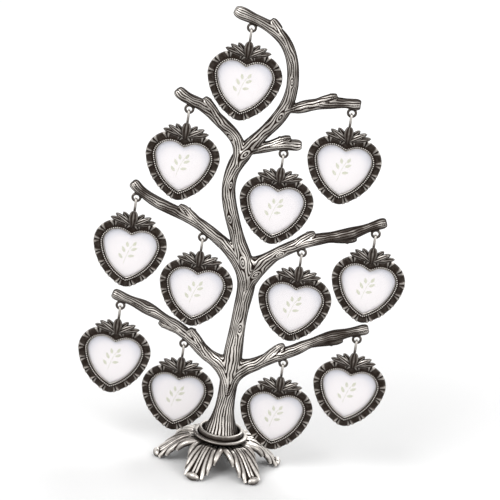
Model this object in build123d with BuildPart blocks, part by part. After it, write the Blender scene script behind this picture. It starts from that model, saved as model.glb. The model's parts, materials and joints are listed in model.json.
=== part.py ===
from build123d import *
import os
from math import acos, atan2, cos, hypot, radians, sin, sqrt

# Photo tree stand, in millimetres: a cast tree on a saucer with leaf feet, hung with small heart frames.
# +Z is up, the front looks towards -Y, and the origin lies on the table under the trunk.

os.makedirs("parts", exist_ok=True)

# Base: saucer, ring ridge and leaf feet
SEAT_Z = 24.0            # height of the seat that the trunk stands on
RIM_R = 21.1             # saucer rim
RIM_T = 1.6              # thickness of the rim's edge
RIDGE_R = 16.6           # ring ridge round the trunk's foot
RIDGE_HALF = 1.6         # half the ridge's width, and its height
HUB_R = 11.0             # underside of the saucer, where the feet meet it
HUB_Z = 12.0
FOOT_COUNT = 6
FOOT_TURN = 10.0         # the base is screwed on a little out of line with the tree
TOE_R = 49.5             # reach of the toes
TOE_L = 5.0
TOE_W = 10.0
TOE_H = 4.2
TOE_ROUND = 1.2

# Screw that holds the trunk on the saucer
SCREW_R = 2.4
SCREW_HEAD_R = 4.6
SCREW_HEAD_H = 2.8
SCREW_GRIP = 15.0        # length in the trunk
SCREW_SLOT_W = 1.2
SCREW_SLOT_D = 1.2
SCREW_PLAY = 0.05        # thread play in the trunk
SCREW_CLEAR = 0.35       # clearance in the saucer

# Limbs: the ends are rounded, the stubs are cut-off twigs
TIP_ROUND = 1.2
STUB_LEAN = 38.0         # stub's angle to its limb
STUB_RISE = 0.9          # how far a stub's end stands above its limb
STUB_FOOT = 0.80         # stub's radius over the limb's radius, at its foot and at its end
STUB_END = 0.62

# Eyelets under the limbs
EYELET_R = 3.4
EYELET_HOLE_R = 1.9
EYELET_T = 2.2
EYELET_HANG = 2.8        # hole's centre below the limb's underside

# Links
LINK_WIRE_R = 0.9
LINK_SIDE_GAP = 0.3      # link to eyelet face
LINK_BEND = 1.4
LINK_PLAY = 0.05         # link on its eyelet, bail on its link

# Heart frames, measured from the eyelet hole's centre
BAIL_DROP = 13.2         # bail's bar below the eyelet hole
BAIL_WIRE_R = 0.7
BAIL_SIDE_GAP = 0.3      # bail to link
BAIL_BEND = 1.0
LOBE_DROP = 37.2         # lobes' centres below the eyelet hole
OPENING_W = 40.0
LOBE_R = 10.5
NOTCH_FILL = 2.2         # notch above the point where the lobes' circles cross
TIP_DROP = 64.0
SIDE_SAG = 4.3           # bulge of the heart's sides
RIM_W = 7.8              # pleated rim round the opening
COLLAR_W = 4.4           # thicker inner part of the rim
FLANGE_T = 2.6
LIP_IN = 0.9             # beaded border, inner and outer edges
LIP_OUT = 2.5
LIP_H = 0.8
RIM_FRONT = 2.4          # rim's front face before the bail's bar
PLEAT_COUNT = 16
PLEAT_W = 3.4
PLEAT_H = 1.1
PLEAT_IN = 3.2           # pleats start this far from the opening
PLEAT_TAPER = 0.3        # pleat's width and height there, over those at the edge
PLEAT_SINK = 0.3         # pleats set into the rim's face and in from its edge

# Window, card and back in the frame's rebate
REBATE = 2.0             # rebate's width round the opening
LEDGE = 0.8              # rebate's ledge before the bail's bar
WINDOW_T = 1.2
CARD_T = 0.5
BACK_T = 1.6
BACK_SINK = 0.4          # back plate below the frame's rear face
REBATE_FIT = 0.3
CARD_PLAY = 0.05

# Leaf crown over the notch: angle from upright, length, width, layer
CROWN_DROP = 21.8
LEAF_T = 1.6
LEAF_LAP = 0.2           # overlap of one layer on the next
CROWN_BOSS_R = 2.2
CROWN_LEAVES = [
    (33, 12.4, 4.0, 0),
    (-33, 12.4, 4.0, 0),
    (53, 15.0, 4.2, 0),
    (-53, 15.0, 4.2, 0),
    (72, 17.4, 4.4, 0),
    (-72, 17.4, 4.4, 0),
    (59, 14.2, 4.2, 1),
    (-59, 14.2, 4.2, 1),
    (0, 11.6, 5.5, 2),
]

# Limb stations from root to tip: x, y, height above the saucer's seat, radius
TRUNK = [
    (0.0, 0.0, 0.0, 13.8),
    (0.0, 0.0, 3.5, 12.4),
    (0.1, 0.0, 9.5, 10.0),
    (0.2, 0.0, 17.0, 8.0),
    (0.4, 0.0, 27.0, 7.0),
    (0.6, 0.0, 42.0, 7.0),
    (0.6, 0.0, 60.0, 7.4),
    (0.9, 0.0, 84.0, 6.1),
    (2.0, 0.0, 107.0, 6.1),
    (2.6, 0.0, 124.0, 7.0),
    (-2.4, 0.0, 141.0, 7.4),
    (-8.6, 0.0, 157.0, 5.6),
    (-15.6, 0.0, 175.0, 5.4),
    (-20.6, 0.0, 194.0, 5.2),
    (-20.6, 0.0, 206.0, 5.2),
    (-16.4, 0.0, 219.5, 6.2),
    (-12.0, 0.0, 227.5, 5.6),
]
LEADER = [
    (-4.5, 0.0, 238.0, 5.2),
    (5.0, 0.0, 251.0, 5.2),
    (11.8, 0.0, 264.0, 5.3),
    (14.7, 0.0, 280.0, 4.6),
    (13.8, 0.0, 292.0, 4.5),
    (10.2, 0.0, 305.0, 4.5),
    (4.5, 0.0, 314.5, 4.6),
    (-4.0, 0.0, 321.8, 4.7),
    (-20.9, 0.0, 328.5, 4.2),
    (-34.0, 0.0, 332.5, 3.6),
]
BRANCHES = {
    "branch_upper_left": [
        (-16.5, 0.0, 216.0, 4.8),
        (-16.9, 0.0, 225.5, 4.8),
        (-19.3, 0.0, 232.8, 4.8),
        (-24.3, 0.0, 239.0, 4.7),
        (-31.0, 0.0, 244.5, 4.7),
        (-37.0, 0.0, 249.0, 4.6),
        (-43.0, 0.0, 253.6, 4.6),
        (-49.0, 0.0, 257.0, 4.5),
        (-58.0, 0.0, 260.0, 4.3),
        (-68.0, 0.0, 265.5, 3.9),
    ],
    "branch_upper_right": [
        (10.8, 0.0, 262.5, 4.0),
        (22.0, 0.0, 266.0, 4.3),
        (30.5, 0.0, 269.5, 4.4),
        (40.0, 0.0, 272.3, 4.4),
        (50.0, 0.0, 274.3, 4.2),
        (61.1, 0.0, 275.0, 4.1),
        (65.5, 0.0, 275.0, 3.9),
    ],
    "branch_mid_right": [
        (-13.0, 0.0, 224.5, 4.0),
        (0.0, 0.0, 231.3, 4.1),
        (8.0, 0.0, 234.3, 4.1),
        (15.8, 0.0, 236.0, 4.0),
        (27.0, 0.0, 237.5, 3.6),
    ],
    "branch_left_mid": [
        (-3.0, 0.0, 141.0, 4.8),
        (-17.5, 0.0, 151.5, 5.0),
        (-26.5, 0.0, 157.5, 4.7),
        (-34.6, 0.0, 162.5, 4.5),
        (-45.0, 0.0, 167.5, 4.4),
        (-59.0, 0.0, 172.3, 4.4),
        (-75.0, 0.0, 178.0, 4.3),
        (-88.0, 0.0, 186.0, 4.0),
        (-91.5, 0.0, 189.0, 3.8),
    ],
    "branch_right_mid": [
        (-1.0, 0.0, 139.5, 4.8),
        (14.0, 0.0, 144.0, 5.0),
        (24.0, 0.0, 151.5, 4.8),
        (33.0, 0.0, 157.8, 4.7),
        (40.5, 0.0, 162.0, 4.6),
        (54.0, 0.0, 167.6, 4.4),
        (66.0, 0.0, 171.5, 4.5),
        (80.0, 0.0, 177.5, 4.2),
        (92.9, 0.0, 184.6, 3.9),
        (98.4, 0.0, 187.2, 3.6),
    ],
    "branch_left_low": [
        (0.5, 0.0, 54.5, 5.2),
        (-14.0, 1.5, 58.5, 5.3),
        (-23.0, 3.5, 63.0, 5.0),
        (-30.5, 5.5, 68.5, 4.8),
        (-37.4, 7.0, 73.0, 4.7),
        (-48.0, 6.5, 79.3, 4.5),
        (-62.0, 4.5, 87.0, 4.3),
        (-76.0, 2.0, 93.3, 4.3),
        (-89.0, 0.0, 97.7, 4.0),
        (-95.0, -0.5, 99.6, 3.7),
    ],
    "branch_right_low": [
        (0.5, 0.0, 54.0, 5.2),
        (13.0, -1.0, 58.1, 5.0),
        (21.0, -2.0, 62.0, 4.9),
        (30.0, -3.0, 68.1, 4.8),
        (39.3, -4.0, 73.4, 4.6),
        (52.0, -3.7, 81.0, 4.2),
        (66.0, -2.5, 88.4, 4.4),
        (79.0, -1.0, 93.9, 4.3),
        (91.6, 0.0, 98.6, 3.9),
        (98.0, 0.5, 100.8, 3.6),
    ],
}

# Which station of each limb carries an eyelet, and which a stub above (1) or below (-1)
EYELETS = [
    ("leader", 9),
    ("branch_upper_left", 8),
    ("branch_upper_right", 5),
    ("branch_mid_right", 3),
    ("branch_left_mid", 7),
    ("branch_left_mid", 3),
    ("branch_right_mid", 8),
    ("branch_right_mid", 4),
    ("branch_left_low", 8),
    ("branch_left_low", 4),
    ("branch_right_low", 4),
    ("branch_right_low", 8),
]
STUBS = [
    ("leader", 7, 1),
    ("branch_upper_left", 6, 1),
    ("branch_upper_right", 3, 1),
    ("branch_mid_right", 2, 1),
    ("branch_left_mid", 4, 1),
    ("branch_right_mid", 4, 1),
    ("branch_right_mid", 6, -1),
    ("branch_left_low", 3, 1),
    ("branch_left_low", 5, -1),
    ("branch_right_low", 3, 1),
    ("branch_right_low", 6, -1),
]

# Leaf foot stations: radius, height, width, thickness
FOOT = [
    (HUB_R - 1.0, HUB_Z + 4.0, 9.0, 6.0),
    (19.0, 18.0, 11.0, 4.6),
    (27.0, 17.0, 13.0, 4.2),
    (34.0, 12.0, 16.0, 4.0),
    (40.0, 6.5, 16.0, 3.6),
    (TOE_R - TOE_L / 2, TOE_H / 2, TOE_W - 2.0, 3.4),
]


def limb_sections(stations):
    """Planes square to a smooth line through the stations, with each station's radius."""
    points = [(x, y, SEAT_Z + height) for x, y, height, _ in stations]
    with BuildLine() as line:
        Spline(*points)
    path = line.edge()
    sections = []
    for point, station in zip(points, stations):
        along = path.param_at_point(Vector(*point))
        plane = Plane(origin=point, x_dir=(0, 1, 0), z_dir=path.tangent_at(along))
        sections.append((plane, station[3]))
    return sections


def rounded_tip(section):
    """The section just past a limb's last one, which rounds its end."""
    plane, radius = section
    return plane.offset(TIP_ROUND), radius - TIP_ROUND


def loft_circles(sections):
    """One smooth limb through its round sections."""
    rings = []
    for plane, radius in sections:
        with BuildSketch(plane) as ring:
            Circle(radius)
        rings.append(ring.sketch)
    loft(rings)


def stub(section, side):
    """A cut-off twig that leans forward out of the limb, above or below it."""
    plane, radius = section
    upward = plane.y_dir if plane.y_dir.Z > 0 else plane.y_dir * -1
    lean = radians(STUB_LEAN)
    direction = plane.z_dir * cos(lean) + upward * (side * sin(lean))
    length = (radius + STUB_RISE) / sin(lean)
    with Locations(Plane(origin=plane.origin, x_dir=(0, 1, 0), z_dir=direction)):
        Cone(radius * STUB_FOOT, radius * STUB_END, length, align=(Align.CENTER, Align.CENTER, Align.MIN))


def eyelet_centre(section):
    """Centre of the eyelet's hole, plumb below the limb's section."""
    plane, radius = section
    level = hypot(plane.z_dir.X, plane.z_dir.Y)
    return plane.origin - Vector(0, 0, radius / level + EYELET_HANG)


def eyelet(section):
    """A flat ring under the limb, with a neck that runs up into it."""
    centre = eyelet_centre(section)
    neck = section[0].origin.Z - centre.Z
    with BuildSketch(Plane(origin=centre, x_dir=(1, 0, 0), z_dir=(0, -1, 0))) as ring:
        Circle(EYELET_R)
        with Locations((0, neck / 2)):
            Rectangle(2 * EYELET_HOLE_R, neck)
        Circle(EYELET_HOLE_R, mode=Mode.SUBTRACT)
    extrude(ring.sketch, amount=EYELET_T / 2, both=True)


def dress_limb(name, sections):
    """Adds the limb's stubs and eyelets."""
    for limb, station, side in STUBS:
        if limb == name:
            stub(sections[station], side)
    for limb, station in EYELETS:
        if limb == name:
            eyelet(sections[station])


def heart(grow, mode=Mode.ADD):
    """The heart opening's face, grown by an even margin."""
    lobe = Vector(OPENING_W / 2 - LOBE_R, -LOBE_DROP)
    crossing = sqrt(max(LOBE_R**2 - lobe.X**2, 0))
    notch = lobe + Vector(-lobe.X, crossing + NOTCH_FILL)
    reach = hypot(lobe.X, notch.Y - lobe.Y)
    bearing = atan2(notch.Y - lobe.Y, -lobe.X) - acos(LOBE_R / reach)
    shoulder = lobe + Vector(LOBE_R * cos(bearing), LOBE_R * sin(bearing))
    crest = lobe + Vector(LOBE_R * cos(bearing / 2), LOBE_R * sin(bearing / 2))
    flank = lobe + Vector(LOBE_R, 0)
    with BuildSketch(mode=Mode.PRIVATE) as opening:
        with BuildLine():
            Line(notch, shoulder)
            ThreePointArc(shoulder, crest, flank)
            SagittaArc(flank, (0, -TIP_DROP), SIDE_SAG)
            mirror(about=Plane.YZ)
        make_face()
        if grow > 0:
            offset(amount=grow, kind=Kind.ARC)
    add(opening.sketch, mode=mode)
    return opening.sketch


def heart_plate(rear, front, margin):
    """A heart-shaped plate between two depths before the bail's bar."""
    with BuildSketch(Plane.XZ.offset(rear)) as face:
        heart(margin)
    extrude(face.sketch, amount=front - rear)


# The trunk and its leader lie on one smooth line and meet square at the fork
stem = limb_sections(TRUNK + LEADER)
stem[0] = (Plane(origin=(0, 0, SEAT_Z), x_dir=(0, 1, 0), z_dir=(0, 0, 1)), TRUNK[0][3])
fork = len(TRUNK)
limbs = {"leader": stem[fork - 1:]}
for name, stations in BRANCHES.items():
    limbs[name] = limb_sections(stations)

with BuildPart() as trunk:
    loft_circles(stem[:fork])
    with Locations((0, 0, SEAT_Z)):
        Cylinder(
            SCREW_R + SCREW_PLAY,
            SCREW_GRIP + SCREW_R,
            align=(Align.CENTER, Align.CENTER, Align.MIN),
            mode=Mode.SUBTRACT,
        )
trunk.part.label = "trunk"
export_step(trunk.part, "parts/trunk.step")

with BuildPart() as leader:
    loft_circles(limbs["leader"] + [rounded_tip(limbs["leader"][-1])])
    dress_limb("leader", limbs["leader"])
leader.part.label = "leader"
export_step(leader.part, "parts/leader.step")

# Each branch is cut to sit on the limb that carries it
for name in BRANCHES:
    with BuildPart() as branch:
        loft_circles(limbs[name] + [rounded_tip(limbs[name][-1])])
        dress_limb(name, limbs[name])
        add(trunk.part, mode=Mode.SUBTRACT)
        add(leader.part, mode=Mode.SUBTRACT)
    branch.part.label = name
    export_step(branch.part, f"parts/{name}.step")

# Saucer: one turned profile from the bore, along the underside, round the rim and over the ridge
bore_r = SCREW_R + SCREW_CLEAR
with BuildPart() as base_dish:
    with BuildSketch(Plane.XZ):
        with BuildLine():
            Line((bore_r, HUB_Z), (HUB_R, HUB_Z))
            under = Vector(RIM_R - RIM_T, SEAT_Z - RIM_T)
            SagittaArc((HUB_R, HUB_Z), under, -RIM_T)
            ThreePointArc(under, (RIM_R, SEAT_Z - RIM_T / 2), (RIM_R - RIM_T, SEAT_Z))
            Line((RIM_R - RIM_T, SEAT_Z), (RIDGE_R + RIDGE_HALF, SEAT_Z))
            ThreePointArc(
                (RIDGE_R + RIDGE_HALF, SEAT_Z),
                (RIDGE_R, SEAT_Z + RIDGE_HALF),
                (RIDGE_R - RIDGE_HALF, SEAT_Z),
            )
            Line((RIDGE_R - RIDGE_HALF, SEAT_Z), (bore_r, SEAT_Z))
            Line((bore_r, SEAT_Z), (bore_r, HUB_Z))
        make_face()
    revolve(axis=Axis.Z)
base_dish.part.label = "base_dish"
export_step(base_dish.part, "parts/base_dish.step")

# One leaf foot along +X: an arched leaf from the saucer down to a flat toe
with BuildPart() as foot:
    with BuildLine() as foot_line:
        Spline(*[(radius, 0, height) for radius, height, _, _ in FOOT])
    for radius, height, width, thickness in FOOT:
        along = foot_line.edge().param_at_point(Vector(radius, 0, height))
        slope = foot_line.edge().tangent_at(along)
        with BuildSketch(Plane(origin=(radius, 0, height), x_dir=(0, 1, 0), z_dir=slope)):
            Ellipse(width / 2, thickness / 2)
    loft()
    with BuildSketch():
        with Locations((TOE_R - TOE_L / 2, 0)):
            RectangleRounded(TOE_L, TOE_W, TOE_ROUND)
    extrude(amount=TOE_H)
    split(bisect_by=Plane.XY, keep=Keep.TOP)
    add(base_dish.part, mode=Mode.SUBTRACT)

with BuildPart() as leaf_feet:
    with PolarLocations(0, FOOT_COUNT, start_angle=FOOT_TURN):
        add(foot.part)
leaf_feet.part.label = "leaf_feet"
export_step(leaf_feet.part, "parts/leaf_feet.step")

with BuildPart() as trunk_screw:
    with BuildSketch(Plane.XY.offset(HUB_Z - SCREW_HEAD_H)):
        Circle(SCREW_HEAD_R)
    extrude(amount=SCREW_HEAD_H)
    with BuildSketch(Plane.XY.offset(HUB_Z)):
        Circle(SCREW_R)
    extrude(amount=SEAT_Z - HUB_Z + SCREW_GRIP)
    with BuildSketch(Plane.XY.offset(HUB_Z - SCREW_HEAD_H)):
        Rectangle(2 * SCREW_HEAD_R, SCREW_SLOT_W)
    extrude(amount=SCREW_SLOT_D, mode=Mode.SUBTRACT)
trunk_screw.part.label = "trunk_screw"
export_step(trunk_screw.part, "parts/trunk_screw.step")

# One link, about its eyelet hole's centre: a wire ring seen edge-on from the front
link_top = LINK_WIRE_R + LINK_PLAY - EYELET_HOLE_R
link_foot = -BAIL_DROP - BAIL_WIRE_R - LINK_PLAY - LINK_WIRE_R
link_side = EYELET_T / 2 + LINK_SIDE_GAP + LINK_WIRE_R
with BuildPart() as link:
    with BuildLine(Plane.YZ) as link_line:
        FilletPolyline(
            (link_side, link_top),
            (link_side, link_foot),
            (-link_side, link_foot),
            (-link_side, link_top),
            radius=LINK_BEND,
            close=True,
        )
    ring = link_line.wire()
    with BuildSketch(Plane(origin=ring.position_at(0), x_dir=(1, 0, 0), z_dir=ring.tangent_at(0))):
        Circle(LINK_WIRE_R)
    sweep(path=ring)

# One heart frame, about its eyelet hole's centre
rim_rear = LEDGE - WINDOW_T - CARD_PLAY - CARD_T - CARD_PLAY - BACK_T - BACK_SINK
bail_half = LINK_WIRE_R + BAIL_SIDE_GAP + BAIL_WIRE_R
with BuildPart() as heart_frame:
    with BuildSketch(Plane.XZ.offset(rim_rear)):
        heart(COLLAR_W)
        heart(0, mode=Mode.SUBTRACT)
    extrude(amount=RIM_FRONT - rim_rear)
    with BuildSketch(Plane.XZ.offset(RIM_FRONT - FLANGE_T)):
        rim_face = heart(RIM_W)
        heart(LIP_OUT, mode=Mode.SUBTRACT)
    extrude(amount=FLANGE_T)
    with BuildSketch(Plane.XZ.offset(RIM_FRONT)):
        heart(LIP_OUT)
        heart(LIP_IN, mode=Mode.SUBTRACT)
    extrude(amount=LIP_H)
    with BuildSketch(Plane.XZ.offset(rim_rear)):
        heart(REBATE)
    extrude(amount=LEDGE - rim_rear, mode=Mode.SUBTRACT)
    # Pleats: wedges across the rim that widen and rise towards its edge
    rim = rim_face.face()
    rim_edge = rim.outer_wire()
    middle = rim.vertices().filter_by(lambda vertex: abs(vertex.X) < PLEAT_SINK)
    notch_at = rim_edge.param_at_point(middle.sort_by(Axis.Y)[-1])
    for count in range(PLEAT_COUNT):
        along = (notch_at + (count + 0.5) / PLEAT_COUNT) % 1
        spot = rim_edge.position_at(along)
        tangent = rim_edge.tangent_at(along)
        inward = Vector(0, 0, 1).cross(tangent)
        if not rim.is_inside(spot + inward):
            inward = inward * -1
        across = Vector(inward.X, 0, inward.Y)
        edge = Vector(spot.X, -RIM_FRONT, spot.Y) + across * PLEAT_SINK
        for depth, share in ((0, 1.0), (RIM_W - PLEAT_SINK - PLEAT_IN, PLEAT_TAPER)):
            with BuildSketch(Plane(origin=edge + across * depth, x_dir=(0, -1, 0), z_dir=across)):
                with BuildLine():
                    Polyline(
                        (-PLEAT_SINK, -PLEAT_W * share / 2),
                        (-PLEAT_SINK, PLEAT_W * share / 2),
                        (PLEAT_H * share, 0),
                        close=True,
                    )
                make_face()
        loft(ruled=True)
    # Leaf crown, in layers from the rim's face forwards, on a boss at its root
    for angle, length, width, layer in CROWN_LEAVES:
        depth = RIM_FRONT - LEAF_LAP + layer * (LEAF_T - LEAF_LAP)
        turn = radians(angle)
        root = Plane(
            origin=(0, -depth, -CROWN_DROP),
            x_dir=(cos(turn), 0, -sin(turn)),
            z_dir=(0, -1, 0),
        )
        with BuildSketch(root):
            with BuildLine():
                ThreePointArc((0, 0), (width / 2, length / 2), (0, length))
                ThreePointArc((0, length), (-width / 2, length / 2), (0, 0))
            make_face()
        extrude(amount=LEAF_T)
    with BuildSketch(Plane.XZ.offset(RIM_FRONT - FLANGE_T)):
        with Locations((0, -CROWN_DROP - CROWN_BOSS_R / 2)):
            Circle(CROWN_BOSS_R)
    extrude(amount=FLANGE_T + 2 * LEAF_T)
    # Bail behind the crown, with its legs cast into the rim
    bail_foot = CROWN_DROP + CROWN_BOSS_R
    with BuildLine(Plane.XZ) as bail_line:
        FilletPolyline(
            (-bail_half, -bail_foot),
            (-bail_half, -BAIL_DROP),
            (bail_half, -BAIL_DROP),
            (bail_half, -bail_foot),
            radius=BAIL_BEND,
        )
    with BuildSketch(Plane(origin=(-bail_half, 0, -bail_foot), x_dir=(1, 0, 0), z_dir=(0, 0, 1))):
        Circle(BAIL_WIRE_R)
    sweep(path=bail_line.wire())

# Window, card and back fill the rebate from its ledge rearwards
window_rear = LEDGE - WINDOW_T
card_front = window_rear - CARD_PLAY
back_front = card_front - CARD_T - CARD_PLAY
with BuildPart() as window:
    heart_plate(window_rear, LEDGE, REBATE - REBATE_FIT)
with BuildPart() as card:
    heart_plate(card_front - CARD_T, card_front, REBATE - REBATE_FIT)
with BuildPart() as back:
    heart_plate(back_front - BACK_T, back_front, REBATE - REBATE_FIT)

# The same link, frame, window and back hang from every eyelet
for number, (limb, station) in enumerate(EYELETS, start=1):
    hole = eyelet_centre(limbs[limb][station])
    pieces = {"link": [link], "heart_frame": [heart_frame], "window": [window], "photo_back": [card, back]}
    for name, solids in pieces.items():
        with BuildPart() as hung:
            with Locations(hole):
                for solid in solids:
                    add(solid.part, clean=False)
        hung.part.label = f"{name}_{number:02d}"
        export_step(hung.part, f"parts/{name}_{number:02d}.step")
    print(f"eyelet {number:2d} on {limb}: {hole.X:.2f} {hole.Y:.2f} {hole.Z:.2f}")
print(f"link bar {link_top:.2f}, bail bar {-BAIL_DROP:.2f}, frame from {rim_rear:.2f} to {RIM_FRONT:.2f}")
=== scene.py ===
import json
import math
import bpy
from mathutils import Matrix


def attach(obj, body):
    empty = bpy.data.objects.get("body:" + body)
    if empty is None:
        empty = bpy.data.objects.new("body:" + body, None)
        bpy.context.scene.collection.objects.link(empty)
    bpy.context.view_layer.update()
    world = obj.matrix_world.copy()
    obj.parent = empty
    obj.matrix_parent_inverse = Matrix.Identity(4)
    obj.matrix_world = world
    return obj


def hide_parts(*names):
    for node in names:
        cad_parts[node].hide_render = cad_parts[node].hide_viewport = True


bl_info = {
    "name": "Photo tree stand",
    "version": (1, 0, 0),
    "blender": (4, 5, 0),
    "location": "View3D > Sidebar > Photo tree",
    "description": "Dresses the packed photo tree stand: cast limbs, leaf feet, heart frames and cards",
    "category": "Object",
}

import bmesh
import bpy
import numpy as np
from bpy.props import FloatProperty, FloatVectorProperty, IntProperty, PointerProperty
from mathutils import Matrix, Vector

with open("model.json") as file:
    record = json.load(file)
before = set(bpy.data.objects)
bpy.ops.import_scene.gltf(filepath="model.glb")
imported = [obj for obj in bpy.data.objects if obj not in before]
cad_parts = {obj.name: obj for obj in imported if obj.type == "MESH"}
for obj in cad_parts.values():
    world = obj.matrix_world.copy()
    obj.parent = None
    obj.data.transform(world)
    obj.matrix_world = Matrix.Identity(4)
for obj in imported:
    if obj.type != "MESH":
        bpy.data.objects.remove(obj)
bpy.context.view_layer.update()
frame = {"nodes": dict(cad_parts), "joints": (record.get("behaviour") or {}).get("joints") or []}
MM = 0.001

# Where each link hangs: its bar lies a little above the eyelet hole's centre
LINK_BAR = -0.95
HOLES = [
    Vector(joint["pos_m"]) / MM - Vector((0, 0, LINK_BAR))
    for joint in frame["joints"]
    if joint["name"].startswith("sway_")
]

# Limb stations in millimetres, root to tip: x, y, height over the table, radius
SEAT_Z = 24.0
LIMBS = {
    "stem": [
        (0, 0, 0, 13.8), (0, 0, 3.5, 12.4), (0.1, 0, 9.5, 10), (0.2, 0, 17, 8),
        (0.4, 0, 27, 7), (0.6, 0, 42, 7), (0.6, 0, 60, 7.4), (0.9, 0, 84, 6.1),
        (2, 0, 107, 6.1), (2.6, 0, 124, 7), (-2.4, 0, 141, 7.4), (-8.6, 0, 157, 5.6),
        (-15.6, 0, 175, 5.4), (-20.6, 0, 194, 5.2), (-20.6, 0, 206, 5.2), (-16.4, 0, 219.5, 6.2),
        (-12, 0, 227.5, 5.6), (-4.5, 0, 238, 5.2), (5, 0, 251, 5.2), (11.8, 0, 264, 5.3),
        (14.7, 0, 280, 4.6), (13.8, 0, 292, 4.5), (10.2, 0, 305, 4.5), (4.5, 0, 314.5, 4.6),
        (-4, 0, 321.8, 4.7), (-20.9, 0, 328.5, 4.2), (-34, 0, 332.5, 3.6),
    ],
    "branch_upper_left": [
        (-16.5, 0, 216, 4.8), (-16.9, 0, 225.5, 4.8), (-19.3, 0, 232.8, 4.8), (-24.3, 0, 239, 4.7),
        (-31, 0, 244.5, 4.7), (-37, 0, 249, 4.6), (-43, 0, 253.6, 4.6), (-49, 0, 257, 4.5),
        (-58, 0, 260, 4.3), (-68, 0, 265.5, 3.9),
    ],
    "branch_upper_right": [
        (10.8, 0, 262.5, 4), (22, 0, 266, 4.3), (30.5, 0, 269.5, 4.4), (40, 0, 272.3, 4.4),
        (50, 0, 274.3, 4.2), (61.1, 0, 275, 4.1), (65.5, 0, 275, 3.9),
    ],
    "branch_mid_right": [
        (-13, 0, 224.5, 4), (0, 0, 231.3, 4.1), (8, 0, 234.3, 4.1), (15.8, 0, 236, 4),
        (27, 0, 237.5, 3.6),
    ],
    "branch_left_mid": [
        (2.4, 0, 112, 4.6), (1.2, 0, 124, 4.8), (-2.9, 0, 134, 4.8), (-8.4, 0, 141.7, 4.8),
        (-14.8, 0, 148.9, 4.8), (-21.1, 0, 153.9, 4.8), (-34.6, 0, 162.5, 4.5), (-45, 0, 167.5, 4.4),
        (-59, 0, 172.3, 4.4), (-75, 0, 178, 4.3), (-88, 0, 186, 4), (-91.5, 0, 189, 3.8),
    ],
    "branch_right_mid": [
        (2.4, 0, 112, 4.6), (3.4, 0, 119, 4.8), (6, 0, 127, 5), (12.6, 0, 138.6, 4.9),
        (19.6, 0, 147.8, 4.8), (24, 0, 151.5, 4.8), (33, 0, 157.8, 4.7), (40.5, 0, 162, 4.6),
        (54, 0, 167.6, 4.4), (66, 0, 171.5, 4.5), (80, 0, 177.5, 4.2), (92.9, 0, 184.6, 3.9),
        (98.4, 0, 187.2, 3.6),
    ],
    "branch_left_low": [
        (0, 0, 34, 4.6), (-1.6, 0.2, 43.5, 4.8), (-3.8, 0.5, 48, 4.9), (-7.6, 0.9, 52.8, 4.9),
        (-13.1, 1.5, 57.3, 5), (-23, 3.5, 63.4, 5), (-30.5, 5.5, 68.5, 4.8), (-37.4, 7, 73, 4.7),
        (-48, 6.5, 79.3, 4.5), (-62, 4.5, 87, 4.3), (-76, 2, 93.3, 4.3), (-89, 0, 97.7, 4),
        (-95, -0.5, 99.6, 3.7),
    ],
    "branch_right_low": [
        (1.6, 0, 34, 4.6), (3.4, 0, 43, 4.8), (5.2, -0.2, 47.4, 4.9), (8, -0.5, 51.2, 4.9),
        (12.4, -1, 55.5, 5), (21, -2, 61.4, 4.9), (30, -3, 68.1, 4.8), (39.3, -4, 73.4, 4.6),
        (52, -3.7, 81, 4.2), (66, -2.5, 88.4, 4.4), (79, -1, 93.9, 4.3), (91.6, 0, 98.6, 3.9),
        (98, 0.5, 100.8, 3.6),
    ],
}
# The limbs' skin is parted by height: piece, from, to, limbs it stands for
LIMB_PIECES = [
    ("limbs_foot", 0, 95, ["trunk"]), ("limbs_low", 95, 128, ["branch_left_low", "branch_right_low"]),
    ("limbs_middle", 128, 206, ["branch_left_mid", "branch_right_mid"]),
    ("limbs_high", 206, 285, ["branch_upper_left", "branch_mid_right"]),
    ("limbs_top", 285, 400, ["branch_upper_right", "leader"]),
]
# Branches whose roots run down the stem as a web, and how many of their stations the web follows
ROOT_WEBS = {"branch_left_mid": 6, "branch_right_mid": 5, "branch_left_low": 6, "branch_right_low": 6}
# Cut-off twigs: limb, station, above (1) or below (-1), extra reach in the limb's radii
TWIGS = [
    ("stem", 24, 1, 0), ("branch_upper_left", 6, 1, 0.6), ("branch_upper_right", 3, 1, 0.8),
    ("branch_mid_right", 2, 1, 1.7), ("branch_left_mid", 7, 1, 1.5), ("branch_right_mid", 7, 1, 0.8),
    ("branch_right_mid", 9, -1, 1.3), ("branch_left_low", 6, 1, 0.4), ("branch_left_low", 8, -1, 0.6),
    ("branch_right_low", 6, 1, 1.2), ("branch_right_low", 9, -1, 1.8),
]
# A twig's shoulder, in its limb's radii: along the limb, off its axis, radius
TWIG_LINE = [
    (-2.6, 0, 0.80), (-1.4, 0.22, 0.80), (-0.2, 0.62, 0.78), (0.7, 0.90, 0.72), (1.2, 1.04, 0.66),
    (1.5, 1.12, 0.36),
]
# Forks where two castings flow together: x, height over the seat, reach
FORKS = [(0.5, 62, 15), (-2, 143, 15), (-15, 222, 12), (11, 264, 10)]
# Knots that the grain parts round: x, height over the seat, half width, lean from upright in degrees
KNOTS = [
    (3, 88, 2.2, 0), (-2.3, 141.8, 2.4, 15), (9.1, 132.7, 2.2, -50), (-16.8, 173.3, 2, 20),
    (-12.1, 225.8, 2.4, -40), (-25.4, 236.6, 2, 40), (9.4, 258, 2.1, -25), (-24.3, 151.5, 1.7, 55),
    (-19.5, 200, 1.7, 0), (24.5, 151.5, 1.7, -55), (14, 286, 1.6, 5),
]
KNOT_STRETCH = 2.1
KNOT_SPREAD = 0.7
KNOT_RINGS = 1.6
KNOT_CALM = 0.5

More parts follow.
